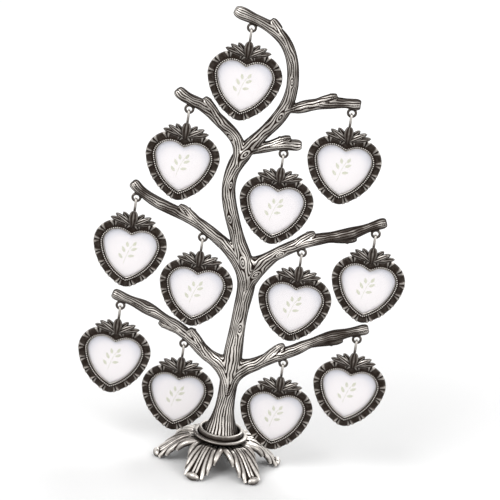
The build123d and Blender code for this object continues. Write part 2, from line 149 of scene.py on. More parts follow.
# Heart frame, in millimetres from its eyelet hole's centre
OPENING_W = 40.0
LOBE_R = 10.5
LOBE_DROP = 37.2
NOTCH_DROP = 30.5
TIP_DROP = 64.0
SIDE_SAG = 4.3
RIM_W = 7.8
PANEL_IN = 3.0
REBATE = 2.0
REBATE_FIT = 0.3
CROWN_DROP = 21.8
BAIL_DROP = 13.2
BAIL_HALF = 1.9
BAIL_WIRE_R = 0.7
CARD_FRONT = -0.45
CARD_T = 0.5
BOARD_FRONT = -1.0
BOARD_REAR = -2.6
HEART_MIDDLE = 45.0
# Section of the rim from the rebate round the front to the rear: growth, depth forward, relief, and wear
# with painted light, where the bezel's dark inner wall is partly blackened patina and partly painted shadow
RIM_SECTION = [
    (2, -3, 0, 0.30), (2, 0.8, 0, 0.10), (0.02, 0.8, 0, 0.10), (0.12, 1.05, 0, 0.14),
    (0.18, 1.35, 0, 0.75), (0.44, 1.5, 0, 0.95), (0.70, 1.4, 0, 0.70), (0.84, 1.15, 0, 0),
    (0.98, 1.6, 0, 0.02), (1.2, 2.2, 0, 0.10), (2.2, 2.3, 0, 0.10), (2.5, 2.1, 0, 0.10),
    (2.75, 1.75, 0, 0), (3, 1.6, 0.35, 0.04), (3.5, 1.6, 0.48, 0.10), (4.1, 1.62, 0.58, 0.12),
    (4.8, 1.64, 0.70, 0.12), (5.5, 1.66, 0.82, 0.12), (6.2, 1.66, 0.93, 0.12), (6.9, 1.62, 1, 0.13),
    (7.35, 1.55, 1, 0.18), (7.65, 1.3, 0.85, 0.28), (7.8, 0.8, 0.45, 0.28), (7.75, 0.2, 0.15, 0.25),
    (7.4, -0.2, 0, 0.25), (4.9, -0.2, 0, 0.22), (4.4, -0.6, 0, 0.22), (4.4, -2.5, 0, 0.32),
    (3.9, -3, 0, 0.38), (2, -3, 0, 0.30),
]
# Crown leaves on either side: angle from upright, length, width, rear depth, forward lean at the tip, shine
SIDE_LEAVES = [
    (40, 12.6, 4.3, 2.3, 0.2, 0.68), (60, 15.6, 4.2, 2.2, 0.3, 0.68), (75, 17.6, 4.3, 2.2, 0.2, 0.68),
    (58, 14.4, 4, 3.5, 0.4, 0.95),
]
MIDDLE_LEAF = (0, 12.5, 6.8, 4.8, 0.3, 0.46)
# How blunt a leaf is, as a power, and how crisp its veins are
SIDE_LEAF_FORM = (0.55, 3)
MIDDLE_LEAF_FORM = (0.48, 1.2)
CROWN_RISE = 0.3
CROWN_BOSS = (2, 2.6, 1.7)

# Saucer profile: radius, height, and wear with painted light: painted highlights on the rim's and ring's
# upper faces, and the ring's walls and the groove dark, partly patina and partly painted shadow
SAUCER = [
    (2.75, 12, 0.2), (10.4, 12, 0.2), (11.2, 12.5, 0.3), (13.2, 15.4, 0.14), (15.8, 18.2, 0.12),
    (18, 20.1, 0.16), (19.7, 21.3, 0.22), (20.7, 21.9, 0.30), (21.08, 22.3, 0.42), (21.08, 22.7, 0.56),
    (20.85, 23.05, 0.70), (20.3, 23.3, 0.76), (19, 23.5, 0.76), (18, 23.5, 0.66), (17.6, 23.2, 0.36),
    (17.45, 22.6, 0), (17.25, 22.2, 0), (17.1, 22.6, 0), (17.05, 23.8, 0.08), (17.1, 25, 0.30),
    (17.1, 26.2, 0.40), (16.95, 26.9, 0.60), (16.5, 27.3, 0.95), (15.6, 27.35, 0.80), (14.9, 27, 0.60),
    (14.5, 26.2, 0.20), (14.3, 24.6, 0), (13.8, 24, 0), (2.75, 24, 0),
]
SAUCER_STEPS = 128
# Roundness of a tube, order of its line, steps from one point to the next
TUBE_ROUND = 4
TUBE_ORDER = 3
TUBE_STEPS = 8

# Leaf foot along +X. Its back: radius out, height, half width.
# Its ribs and lobes: radius out, side, drop below the back, thickness
FOOT_COUNT = 6
FOOT_TURN = 10.0
FOOT_SPINE = [
    (9, 14.5, 4), (19, 18.8, 7.6), (27, 17.6, 8.4), (34, 12.8, 6.8), (40, 7.4, 5.6), (45, 3.4, 3.4),
]
FOOT_RIBS = [
    (12, 0.85, -0.6, 1.1), (20, 0.9, -0.9, 1.2), (28, 0.9, -1, 1.15), (35, 1, -1, 1.15),
    (41, 1.2, -0.8, 1.1), (45.6, 1.5, -0.5, 1),
]
FOOT_LOBES = [
    [(11, 5, 0, 2), (16, 8, 0.3, 2.3), (21, 9.9, 0.4, 2.5), (27, 10.5, 0.7, 2.5),
     (31.4, 10.1, 1.2, 2.2), (33.2, 9.8, 3, 1.6)],
    [(16, 3.6, 0.3, 1.9), (24, 5.9, 0.2, 2.2), (31, 7.2, 0.2, 2.3), (36.6, 8, 0.4, 2.2),
     (39.4, 8.2, 1, 1.9), (40.6, 8.3, 2.6, 1.5)],
    [(22, 3, 0.2, 1.7), (30, 4, 0.1, 2), (37, 5, 0.1, 2.1), (42.2, 6.1, 0.2, 2),
     (44.6, 6.5, 0.6, 1.6), (45.6, 6.6, 1.6, 1.2)],
]
TOE_R = 46.9
TOE_HALF = 5.1
TOE_H = 6.3
TOE_DEEP = 2.8
# Back of the foot: columns of its grid, depth under the ribs, arch across, thickness
FOOT_COLUMNS = 8
FOOT_SUNK = 1.4
FOOT_ARCH = 1.6
FOOT_THICK = 1.8
# Skin of the foot, its smoothing, and its wear with painted light: wear everywhere and for what stands
# proud, painted light for what faces up, and the limit of painted shade for what faces down
FOOT_VOXEL = 0.36
FOOT_SMOOTH = 2
FOOT_CALM = 24
FOOT_WORN = 0.16
FOOT_PROUD = 2.6
FOOT_PAINTED_LIGHT = 0.42
FOOT_SHADE_LIMIT = -0.6
FOOT_PIECES = [("leaf_feet_right", range(-1, 2)), ("leaf_feet_left", range(2, 5))]

# Steps round the heart's notch, lobe, side and tip, and the least growth of its outline
NOTCH_STEPS = 8
LOBE_STEPS = 84
SIDE_STEPS = 90
TIP_STEPS = 26
LEAST_GROW = 0.02
SEAM = 0.002 * MM
# Double pleats, in shares of their spacing: at the panel, and what they gain towards the rim's edge
PLEAT_LINE = 4.5
PLEAT_MIDDLE = (0.07, 0.10)
PLEAT_HALF = (0.05, 0.08)
PLEAT_STEEP = 2.8
PLEAT_WORN = (0.34, 0.16)
# The rim's edge steps in between the pleats, and more in the gap of a double pleat, which is darkened with
# painted shade
EDGE_FROM = 6.0
EDGE_IN = 0.22
GAP_HALF = 0.06
GAP_IN = 0.3
GAP_PAINTED_SHADE = 0.12
BEAD_LINE = 1.75
BEAD_DEPTH = 2.4
BEAD_WORN = 1.0
BEAD_DARK = 0.05
BOSS_WORN = 0.10
BAIL_SUNK = 2.4
BAIL_LEG = 4.0
BAIL_WORN = 0.45
# A crown leaf's grid, veins, outline, thickness and wear
LEAF_COLUMNS = 16
LEAF_ROWS = 16
VEIN_TURNS = 2.5
LEAF_BULGE = 1.25
LEAF_TIP_HALF = 0.12
LEAF_STALK = 0.16
LEAF_BLADE = 0.92
LEAF_EDGE = 0.3
LEAF_DOME = 1.1
LEAF_VEIN = 0.24
LEAF_DARK = 0.05
LEAF_ROOT_SHINE = 0.45
LEAF_REAR_WORN = 0.12
# Card: rings of its grid, height span of its painted shadow, and the painted shadow above, at the edge and
# at the upper edge, where the frame's edge shades it
CARD_RINGS = 16
CARD_SHADE_LOW = 54.0
CARD_SHADE_SPAN = 24.0
CARD_EDGE_FADE = 2.6
CARD_SHADES = (0.30, 0.06, 0.70)
# Board from its front edge to its pressed panel: share of the outline, depth
BOARD_STEPS = [
    (1, BOARD_FRONT), (1, BOARD_REAR + 0.35), (0.985, BOARD_REAR), (0.84, BOARD_REAR),
    (0.82, BOARD_REAR + 0.3), (0, BOARD_REAR + 0.3),
]
# Printed sprig: leaves as x, height, angle, length; its stem; how far the print stands off the card
SPRIG_LEAVES = [
    (-4.6, -50, 128, 5), (-0.6, -47.6, 12, 5.2), (-3.2, -44.8, 118, 5.4), (1.2, -42.6, 28, 5.2),
    (-1.4, -40.4, 104, 4.6), (2.4, -39.2, 62, 4.6),
]
SPRIG_STEM = [(-3.4, -54), (-2.4, -50), (-1.4, -46), (0, -42), (1.8, -38.6)]
SPRIG_LEAF_W = 2.3
SPRIG_STEM_W = 0.42
SPRIG_OVERLAP = 1.15
SPRIG_PROUD = 0.03
SPRIG_INK = 0.6
BLADE_COLUMNS = 4
BLADE_ROWS = 8
BLADE_BULGE = 0.85
BLADE_BLUNT = 0.8
BLADE_TIP_HALF = 0.01
# Material slots of the print and the board, and the board's tones
PRINT_SLOT = 1
BOARD_SLOT = 2
BOARD_TONES = ((0.05, 0.045, 0.042, 1.0), (0.09, 0.082, 0.076, 1.0))
SAME_PLACE = 1e-7

WELD = 0.001 * MM
SKIN_SMOOTH = 4
FIELD_STEP = 1.2
FORK_SHARP = 8.0
FRONT_SHARP = 10.0
# Sum of sine waves that makes a wandering value
WAVE_COUNT = 7
WAVE_GAIN = 1.6
WAVE_LENGTHS = (0.6, 1.6)
# The grain's lines fan out at the stem's flare, and thin out between two heights over the seat
FLARE_H = 26.0
FLARE_LINES = 0.45
FLARE_CALM = 0.7
THINNING = (110.0, 240.0)
LINES_LOW = 1.25
LINES_HIGH = 0.92
# How the grain wanders: share, wavelength, seed
WANDER = [(0.80, 24.0, 3), (0.25, 9.0, 5)]
# Depth of the grooves: usual share, how it varies, wavelength and seed, least and most
DEPTH_USUAL = 0.9
DEPTH_VARIES = 0.3
DEPTH_WAVE = (14.0, 8)
DEPTH_SPAN = (0.4, 1.2)
GROOVE_TOP = 0.95
BARK_FROM = 2.0
# Shares by which the bark is made brighter or darker: rubbed wear and patches, and painted light: a painted
# reflection where it faces front or back, painted light on top, painted shade underneath and on the
# right-facing side, and a painted highlight on the eyelets' tops
BARK_WEAR_AND_LIGHT = {
    "side": 0.16, "facing": 0.66, "up": 0.05, "under": 0.35, "right": 0.10, "fork": 0.6, "patchy": 0.18,
    "least": 0.08, "bare": 0.16, "eyelet": 0.16, "eyelet_painted_highlight": 0.3,
}
# Where the painted reflection on front- and back-facing bark begins, and the span over which it grows
FACING_FROM = 0.15
FACING_SPAN = 0.6
PATCH_WAVE = (13.0, 11)
# The branches' outer parts, left and right, and the top are darker than the stem
OUTER_FROM = 35.0
OUTER_DARK = (0.16, 0.38)
TOP_DARK = 0.12
# The branches' cut tips are rubbed bright
TIP_REACH = 9.0
TIP_WORN = 0.5
# Stub on the top limb's bend: its place and how far round it the limb is rubbed down
STUB_SPOT = Vector((6.0, 0.0, SEAT_Z + 320.5))
STUB_REACH = 6.5
STUB_STEP = 1.0
# Eyelets' rounded rings about their holes, and how far the bark keeps off them
EYELET_RING = 3.06
EYELET_THICK = 0.9
EYELET_HOLE = 2.06
EYELET_TURNS = [step * math.pi / 12 for step in range(24)]
EYELET_BARE = 5.3
EYELET_FADE = 1.5

# Finishes: spread of the patina, its stops from dark to bright, roughness from dull to rubbed, fine grit,
# and the edges of the bark's grooves
PATINA = 0.40
PATINA_STOPS = (0.06, 0.40, 0.90)
PEWTER_ROUGH = (0.58, 0.26)
GRIT_SCALE = 2600.0
GROOVE_EDGE = (0.44, 0.86)
SHARP_METAL = math.radians(50)
SHARP_CARD = math.radians(35)
# Links: painted shade on the dark lower end, and the share of their height where it gives way to the rubbed
# part
LINK_PAINTED_SHADE = 0.10
LINK_BRIGHT = 0.75
LINK_CHANGE = 0.56
LINK_FADE = 0.1

# Stage: lamps as name, place, size, power; where they and the camera aim
LAMPS = [
    ("key", (-1.1, -1.5, 1.7), 1.2, 27.0), ("fill", (1.6, -1.2, 1.0), 1.4, 11.0),
    ("rim", (0.4, 1.4, 1.3), 1.0, 11.0),
]
LAMP_AIM = Vector((0, 0, 0.17))
CAMERA_AIM = Vector((1.7, 0.0, 174.0)) * MM
SENSOR_W = 36.0
FLOOR_HALF = 6.0
# World's strength for light, and as seen by the camera, in gloss and through glass
WORLD_LIGHT = 0.6
WORLD_SEEN = 1.0


class LimbSettings(bpy.types.PropertyGroup):
    voxel: FloatProperty(
        name="Skin detail", description="Edge length of the cast limbs' skin",
        default=0.36 * MM, unit="LENGTH", precision=5,
    )
    grain_pitch: FloatProperty(
        name="Grain pitch", description="Distance from one bark groove to the next",
        default=2.0 * MM, unit="LENGTH", precision=5,
    )
    grain_depth: FloatProperty(
        name="Grain depth", description="Depth of the bark grooves",
        default=0.45 * MM, unit="LENGTH", precision=5,
    )
    fork_smooth: IntProperty(
        name="Fork smoothing", description="How softly limbs run together", default=14, min=0,
    )


class HeartSettings(bpy.types.PropertyGroup):
    pleats: IntProperty(name="Pleats", description="Pleats round one heart rim", default=16, min=4)
    pleat_height: FloatProperty(
        name="Pleat height", description="Height of a pleat at the rim's edge",
        default=1.3 * MM, unit="LENGTH", precision=5,
    )
    bead_radius: FloatProperty(
        name="Bead radius", description="Radius of the border's beads",
        default=0.64 * MM, unit="LENGTH", precision=5,
    )
    bead_pitch: FloatProperty(
        name="Bead pitch", description="Distance between the border's beads",
        default=1.55 * MM, unit="LENGTH", precision=5,
    )


class FinishSettings(bpy.types.PropertyGroup):
    pewter_dark: FloatVectorProperty(
        name="Pewter recesses", description="Colour of the blackened recesses", subtype="COLOR", size=4,
        default=(0.023, 0.0165, 0.013, 1.0), min=0, max=1,
    )
    pewter_mid: FloatVectorProperty(
        name="Pewter body", description="Colour of the antique metal", subtype="COLOR", size=4,
        default=(0.105, 0.091, 0.081, 1.0), min=0, max=1,
    )
    pewter_bright: FloatVectorProperty(
        name="Pewter ridges", description="Colour of the rubbed ridges", subtype="COLOR", size=4,
        default=(0.80, 0.755, 0.705, 1.0), min=0, max=1,
    )
    card_white: FloatVectorProperty(
        name="Card", description="Colour of the insert card", subtype="COLOR", size=4,
        default=(0.85, 0.81, 0.815, 1.0), min=0, max=1,
    )
    # Painted shadow that the frame's edge casts on the card
    card_painted_shadow: FloatVectorProperty(
        name="Card shade", description="Pale shade round the card's upper edge", subtype="COLOR", size=4,
        default=(0.60, 0.605, 0.67, 1.0), min=0, max=1,
    )
    sprig: FloatVectorProperty(
        name="Sprig", description="Colour of the printed leaf sprig", subtype="COLOR", size=4,
        default=(0.52, 0.53, 0.38, 1.0), min=0, max=1,
    )


class StageSettings(bpy.types.PropertyGroup):
    pitch: FloatProperty(
        name="Camera pitch", description="Downward angle of the camera",
        default=math.radians(20), subtype="ANGLE",
    )
    roll: FloatProperty(
        name="Camera roll", description="Turn of the camera about its view",
        default=math.radians(8.5), subtype="ANGLE",
    )
    distance: FloatProperty(
        name="Camera distance", description="Camera to the middle of the tree", default=2.325, unit="LENGTH",
    )
    lens: FloatProperty(
        name="Lens", description="Focal length in millimetres", default=223.2, unit="CAMERA",
    )


def placed(name, data):
    """A new object in the scene."""
    thing = bpy.data.objects.new(name, data)
    bpy.context.scene.collection.objects.link(thing)
    return thing


def mesh_of(name, bm):
    """A mesh made of the bmesh, which is then gone."""
    mesh = bpy.data.meshes.new(name)
    bm.to_mesh(mesh)
    bm.free()
    return mesh


def take_in(bm, mesh):
    """Moves a mesh into the bmesh."""
    bm.from_mesh(mesh)
    bpy.data.meshes.remove(mesh)


def mesh_piece(name, bm, materials, body, nodes, sharp=None):
    """Makes the finished piece from its bmesh, in place, riding on its body."""
    mesh = mesh_of(name, bm)
    for material in materials:
        mesh.materials.append(material)
    mesh.polygons.foreach_set("use_smooth", [True] * len(mesh.polygons))
    if sharp is not None:
        mesh.set_sharp_from_angle(angle=sharp)
    piece = placed(name, mesh)
    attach(piece, body)
    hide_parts(*nodes)


def hang_copies(master, title, materials, body, node, sharp):
    """Hangs a copy of the master from every eyelet."""
    for number, hole in enumerate(HOLES, start=1):
        tag = f"_{number:02d}"
        bm = master.copy()
        bmesh.ops.translate(bm, verts=bm.verts, vec=hole * MM)
        mesh_piece(title + tag, bm, materials, body + tag, [node + tag], sharp)
    master.free()


def evaluated_mesh(piece):
    """The piece's mesh with its modifiers or bevel applied, and the piece itself gone."""
    graph = bpy.context.evaluated_depsgraph_get()
    mesh = bpy.data.meshes.new_from_object(piece.evaluated_get(graph))
    bpy.data.objects.remove(piece)
    return mesh


def voxel_skin(bm, voxel):
    """One closed skin round everything in the bmesh."""
    piece = placed("skin", mesh_of("skin", bm))
    remesh = piece.modifiers.new("skin", "REMESH")
    remesh.mode = "VOXEL"
    remesh.voxel_size = voxel
    return evaluated_mesh(piece)


def smooth(bm, verts, rounds):
    """Smooths vertices a number of times."""
    for _ in range(rounds):
        bmesh.ops.smooth_vert(bm, verts=verts, factor=0.5, use_axis_x=True, use_axis_y=True, use_axis_z=True)


def faces_round(verts):
    """All faces that meet at the vertices."""
    return {face for vert in verts for face in vert.link_faces}


def add_tube(bm, points, closed=False):
    """Adds a round tube through points (x, y, z, radius in millimetres) to the bmesh."""
    curve = bpy.data.curves.new("tube", "CURVE")
    curve.dimensions = "3D"
    curve.bevel_depth = MM
    curve.bevel_resolution = TUBE_ROUND
    curve.use_fill_caps = not closed
    spline = curve.splines.new("NURBS")
    spline.points.add(len(points) - 1)
    for spot, (x, y, z, radius) in zip(spline.points, points):
        spot.co = (x * MM, y * MM, z * MM, 1.0)
        spot.radius = radius
    spline.use_cyclic_u = closed
    spline.use_endpoint_u = not closed
    spline.order_u = TUBE_ORDER
    spline.resolution_u = TUBE_STEPS
    take_in(bm, evaluated_mesh(placed("tube", curve)))
    bpy.data.curves.remove(curve)


def casting():
    """A new bmesh whose points carry a mark of wear and painted light."""
    bm = bmesh.new()
    bm.verts.layers.float.new("wear_and_painted_light")
    return bm


def add_sheet(bm, columns, rows, place):
    """Adds a grid; place(column, row) gives each point, in millimetres, and its mark of wear and painted
    light. Returns its points.
    """
    wear_and_painted_light = bm.verts.layers.float["wear_and_painted_light"]
    grid = bmesh.ops.create_grid(bm, x_segments=columns, y_segments=rows, size=1.0)
    for vert in grid["verts"]:
        column = round((vert.co.x + 1) / 2 * columns)
        row = round((vert.co.y + 1) / 2 * rows)
        point, mark = place(column, row)
        vert.co = Vector(point) * MM
        vert[wear_and_painted_light] = mark
    return grid["verts"]


def node_tree(name):
    """A new material with its node tree and its main shader."""
    material = bpy.data.materials.new(name)
    material.use_nodes = True
    return material, material.node_tree, material.node_tree.nodes["Principled BSDF"]


def fill(tree, node, inputs):
    """Fills a node's inputs with links from other nodes or with plain values."""
    for name, value in inputs.items():
        if isinstance(value, bpy.types.NodeSocket):
            tree.links.new(value, node.inputs[name])
        else:
            node.inputs[name].default_value = value


def add_node(tree, kind, result, inputs, **settings):
    """Adds a shader node with its settings and inputs, and returns its result."""
    node = tree.nodes.new("ShaderNode" + kind)
    for name, value in settings.items():
        setattr(node, name, value)
    fill(tree, node, inputs)
    return node.outputs[result]


def marked(tree, name):
    """The value of a mark that the mesh carries."""
    return add_node(tree, "Attribute", "Fac", {}, attribute_name=name)


def maths(tree, operation, *values, clamp=False):
    """A sum over other results or plain values."""
    return add_node(tree, "Math", "Value", dict(enumerate(values)), operation=operation, use_clamp=clamp)


def between(tree, share, low, high):
    """A value that goes from low to high as the share goes from 0 to 1."""
    return add_node(tree, "MapRange", "Result", {"Value": share, "To Min": low, "To Max": high})


def noise(tree, scale, detail=2.0, roughness=0.5):
    """A cloudy variation over the object."""
    place = add_node(tree, "TexCoord", "Object", {})
    inputs = {"Vector": place, "Scale": scale, "Detail": detail, "Roughness": roughness}
    return add_node(tree, "TexNoise", "Fac", inputs)


def bump(tree, height, strength, distance):
    """A fine unevenness of the surface."""
    return add_node(tree, "Bump", "Normal", {"Height": height, "Strength": strength, "Distance": distance})


def ramp(tree, level, stops, interpolation="LINEAR"):
    """A colour that runs through stops of position and colour as the level rises."""
    node = tree.nodes.new("ShaderNodeValToRGB")
    node.color_ramp.interpolation = interpolation
    elements = node.color_ramp.elements
    for index, (position, colour) in enumerate((stops[0], stops[-1])):
        elements[index].position = position
        elements[index].color = colour
    for position, colour in stops[1:-1]:
        elements.new(position).color = colour
    fill(tree, node, {"Fac": level})
    return node.outputs["Color"]


def pewter(name, fine_scale, polish, grained=False):
    """Antique pewter: black in the recesses, rubbed bright on the ridges, and lighter or darker by painted
    light and shade, all as the points' mark of wear and painted light gives it.
    """
    finish = bpy.context.scene.photo_tree_finish
    material, tree, shader = node_tree(name)
    level = marked(tree, "wear_and_painted_light")
    if grained:
        level = maths(tree, "MULTIPLY", grain_lines(tree), level)
    patina = noise(tree, fine_scale, detail=6.0, roughness=0.6)
    spread = maths(tree, "MULTIPLY_ADD", patina, PATINA, -PATINA / 2)
    worn_and_painted_light = maths(tree, "ADD", level, spread, clamp=True)
    bright = [part * polish for part in finish.pewter_bright[:3]] + [1.0]
    stops = list(zip(PATINA_STOPS, (finish.pewter_dark, finish.pewter_mid, bright)))
    fill(tree, shader, {
        "Base Color": ramp(tree, worn_and_painted_light, stops),
        "Roughness": between(tree, worn_and_painted_light, *PEWTER_ROUGH),
        "Normal": bump(tree, noise(tree, GRIT_SCALE, detail=3.0), strength=0.18, distance=0.08 * MM),
        "Metallic": 1.0,
    })
    return material


def grain_lines(tree):
    """Black grooves between bright ridges, wherever the mesh is marked as bark."""
    turn = maths(tree, "MULTIPLY", marked(tree, "grain"), math.pi)
    ridge = maths(tree, "ABSOLUTE", maths(tree, "SINE", turn))
    edges = {"Value": ridge, "From Min": GROOVE_EDGE[0], "From Max": GROOVE_EDGE[1]}
    groove = add_node(tree, "MapRange", "Result", edges, interpolation_type="SMOOTHSTEP")
    return add_node(tree, "Mix", "Result", {"Factor": marked(tree, "bark"), "A": 1.0, "B": groove})


def bright_wire():
    """Bright plated steel with fine drawing marks."""
    material, tree, shader = node_tree("bright_wire")
    marks = noise(tree, scale=260.0, detail=4.0)
    stops = [(0.36, (0.035, 0.031, 0.028, 1.0)), (0.62, (0.60, 0.59, 0.57, 1.0))]
    fill(tree, shader, {
        "Base Color": ramp(tree, marks, stops),
        "Roughness": between(tree, marks, low=0.12, high=0.26),
        "Metallic": 1.0,
    })
    return material


def clear_pane():
    """Clear window: nearly see-through, with a soft gloss."""
    material, tree, shader = node_tree("clear_pane")
    fill(tree, shader, {
        "Alpha": between(tree, noise(tree, scale=60.0), low=0.05, high=0.10),
        "Base Color": (0.95, 0.96, 0.98, 1.0),
        "Roughness": 0.04,
        "IOR": 1.49,
    })
    return material


def card_paper():
    """White card with painted shadow along its edges, strongest towards its upper edge, and a fine paper
    tooth.
    """
    finish = bpy.context.scene.photo_tree_finish
    material, tree, shader = node_tree("card_paper")
    stops = [(0.0, finish.card_white), (1.0, finish.card_painted_shadow)]
    fill(tree, shader, {
        "Base Color": ramp(tree, marked(tree, "wear_and_painted_light"), stops, "EASE"),
        "Normal": bump(tree, noise(tree, scale=1800.0), strength=0.08, distance=0.05 * MM),
        "Roughness": 0.55,
    })
    return material


def mottled(name, first, second, scale, roughness):
    """A matt material whose colour varies finely between two tones."""
    material, tree, shader = node_tree(name)
    speck = noise(tree, scale, detail=5.0)
    fill(tree, shader, {
        "Base Color": ramp(tree, speck, [(0.3, first), (0.7, second)]),
        "Normal": bump(tree, speck, strength=0.25, distance=0.1 * MM),
        "Roughness": roughness,
    })
    return material


def heart_points(grow):
    """The heart opening's outline grown by a margin, clockwise from its notch, as (x, z) in millimetres."""
    grow = max(grow, LEAST_GROW)
    lobe_x = OPENING_W / 2 - LOBE_R
    lobe = LOBE_R + grow
    rise = LOBE_DROP - NOTCH_DROP
    bearing = math.atan2(rise, -lobe_x) - math.acos(LOBE_R / math.hypot(lobe_x, rise))
    end = Vector((lobe_x + lobe * math.cos(bearing), -LOBE_DROP + lobe * math.sin(bearing)))
    if end.x > 0:
        first = bearing
        notch = Vector((0, -NOTCH_DROP + grow / math.sin(bearing)))
        half = [notch.lerp(end, step / NOTCH_STEPS) for step in range(NOTCH_STEPS)]
    else:
        first = math.acos(-lobe_x / lobe)
        half = [Vector((0, -LOBE_DROP + lobe * math.sin(first)))] * NOTCH_STEPS
    for step in range(LOBE_STEPS):
        turn = first * (1 - step / LOBE_STEPS)
        half.append(Vector((lobe_x + lobe * math.cos(turn), -LOBE_DROP + lobe * math.sin(turn))))
    flank = Vector((OPENING_W / 2, -LOBE_DROP))
    tip = Vector((0, -TIP_DROP))
    chord = (tip - flank).length
    radius = chord * chord / (8 * SIDE_SAG) + SIDE_SAG / 2
    inward = Vector((tip.y - flank.y, flank.x - tip.x)).normalized()
    centre = (flank + tip) / 2 + inward * (radius - SIDE_SAG)
    start = math.atan2(flank.y - centre.y, flank.x - centre.x)
    stop = math.atan2(tip.y - centre.y, tip.x - centre.x)
    for step in range(SIDE_STEPS):
        turn = start + (stop - start) * step / SIDE_STEPS
        half.append(centre + Vector((math.cos(turn), math.sin(turn))) * (radius + grow))
    for step in range(TIP_STEPS):
        turn = stop + (-math.pi / 2 - stop) * step / TIP_STEPS
        half.append(tip + Vector((math.cos(turn), math.sin(turn))) * grow)
    foot = tip - Vector((0, grow))
    return half + [foot] + [Vector((-point.x, point.y)) for point in reversed(half[1:])]


def outline_shares(points):
    """Each point's share of the way round a closed outline, and the outline's length."""
    lengths = [0.0]
    for here, there in zip(points, points[1:] + points[:1]):
        lengths.append(lengths[-1] + (there - here).length)
    return [length / lengths[-1] for length in lengths], lengths[-1]


def along_outline(points, shares, share):
    """The point at a share of the way round a closed outline."""
    for index, end in enumerate(shares[1:]):
        if end >= share:
            start = shares[index]
            part = (share - start) / max(end - start, 1e-9)
            return points[index].lerp(points[(index + 1) % len(points)], part)
    return points[0]


def pleat_relief(turn, reach):
    """Height of the double pleat, 0 to 1, at a turn from panel to panel and a reach across the rim."""
    middle = PLEAT_MIDDLE[0] + PLEAT_MIDDLE[1] * reach
    half = PLEAT_HALF[0] + PLEAT_HALF[1] * reach
    away = abs(abs(turn - 0.5) - middle) / half
    return min(1.0, max(0.0, (1 - away) * PLEAT_STEEP))


def build_heart_frame(settings):
    """One heart frame about its eyelet hole's centre: rim, pleats, beads, crown and bail."""
    bm = casting()
    wear_and_painted_light = bm.verts.layers.float["wear_and_painted_light"]
    loops = [heart_points(section[0]) for section in RIM_SECTION]
    count = len(loops[0])
    shares, _ = outline_shares(heart_points(PLEAT_LINE))
    height = settings.pleat_height / MM
    middle = Vector((0, -HEART_MIDDLE))

    def place(column, row):
        index = column % count
        grow, depth, relief, worn_and_painted_light = RIM_SECTION[row]
        reach = min(1.0, max(0.0, (grow - PANEL_IN) / (RIM_W - PANEL_IN)))
        turn = (shares[index] * settings.pleats) % 1.0
        ridge = pleat_relief(turn, reach) if relief > 0 else 0.0
        gap = max(0.0, 1 - abs(turn - 0.5) / GAP_HALF)
        point = loops[row][index]
        if grow > EDGE_FROM:
            inset = EDGE_IN * (1 - ridge) + GAP_IN * gap
            point = point + (middle - point).normalized() * (inset * relief)
        shine = PLEAT_WORN[0] + PLEAT_WORN[1] * reach
        # Painted shade in the gap of each double pleat
        mark = worn_and_painted_light + ridge * shine * min(1.0, 2 * relief) - GAP_PAINTED_SHADE * gap
        return (point.x, -(depth + ridge * relief * height), point.y), max(0.0, mark)

    add_sheet(bm, count, len(RIM_SECTION) - 1, place)
    bmesh.ops.remove_doubles(bm, verts=bm.verts, dist=SEAM)
    add_beads(bm, wear_and_painted_light, settings)
    for angle, *leaf in SIDE_LEAVES:
        for side in (1, -1):
            add_leaf(bm, wear_and_painted_light, angle * side, *leaf, *SIDE_LEAF_FORM)
    add_leaf(bm, wear_and_painted_light, *MIDDLE_LEAF, *MIDDLE_LEAF_FORM)
    seat = Matrix.Translation(Vector((0, -CROWN_BOSS[1], -CROWN_DROP)) * MM)
    seat = seat @ Matrix.Diagonal((*CROWN_BOSS, 1))
    boss = bmesh.ops.create_uvsphere(bm, u_segments=16, v_segments=10, radius=MM, matrix=seat)
    for vert in boss["verts"]:
        vert[wear_and_painted_light] = BOSS_WORN
    before = set(bm.verts)
    foot = CROWN_DROP + BAIL_SUNK
    leg = [(BAIL_HALF, level) for level in (-foot, BAIL_LEG - foot, -BAIL_DROP)]
    leg.append((BAIL_HALF / 2, -BAIL_DROP))
    wire = [(-x, z) for x, z in leg] + leg[::-1]
    add_tube(bm, [(x, 0, z, BAIL_WIRE_R) for x, z in wire])
    for vert in set(bm.verts) - before:
        vert[wear_and_painted_light] = BAIL_WORN
    bmesh.ops.recalc_face_normals(bm, faces=bm.faces)
    return bm


def add_beads(bm, wear_and_painted_light, settings):
    """The border's row of beads."""
    path = heart_points(BEAD_LINE)
    shares, length = outline_shares(path)
    beads = round(length * MM / settings.bead_pitch)
    for bead in range(beads):
        spot = along_outline(path, shares, (bead + 0.5) / beads)
        middle = Vector((spot.x, -BEAD_DEPTH, spot.y)) * MM
        ball = bmesh.ops.create_icosphere(
            bm, subdivisions=1, radius=settings.bead_radius, matrix=Matrix.Translation(middle)
        )
        for vert in ball["verts"]:
            vert[wear_and_painted_light] = BEAD_WORN if vert.co.y < middle.y else BEAD_DARK


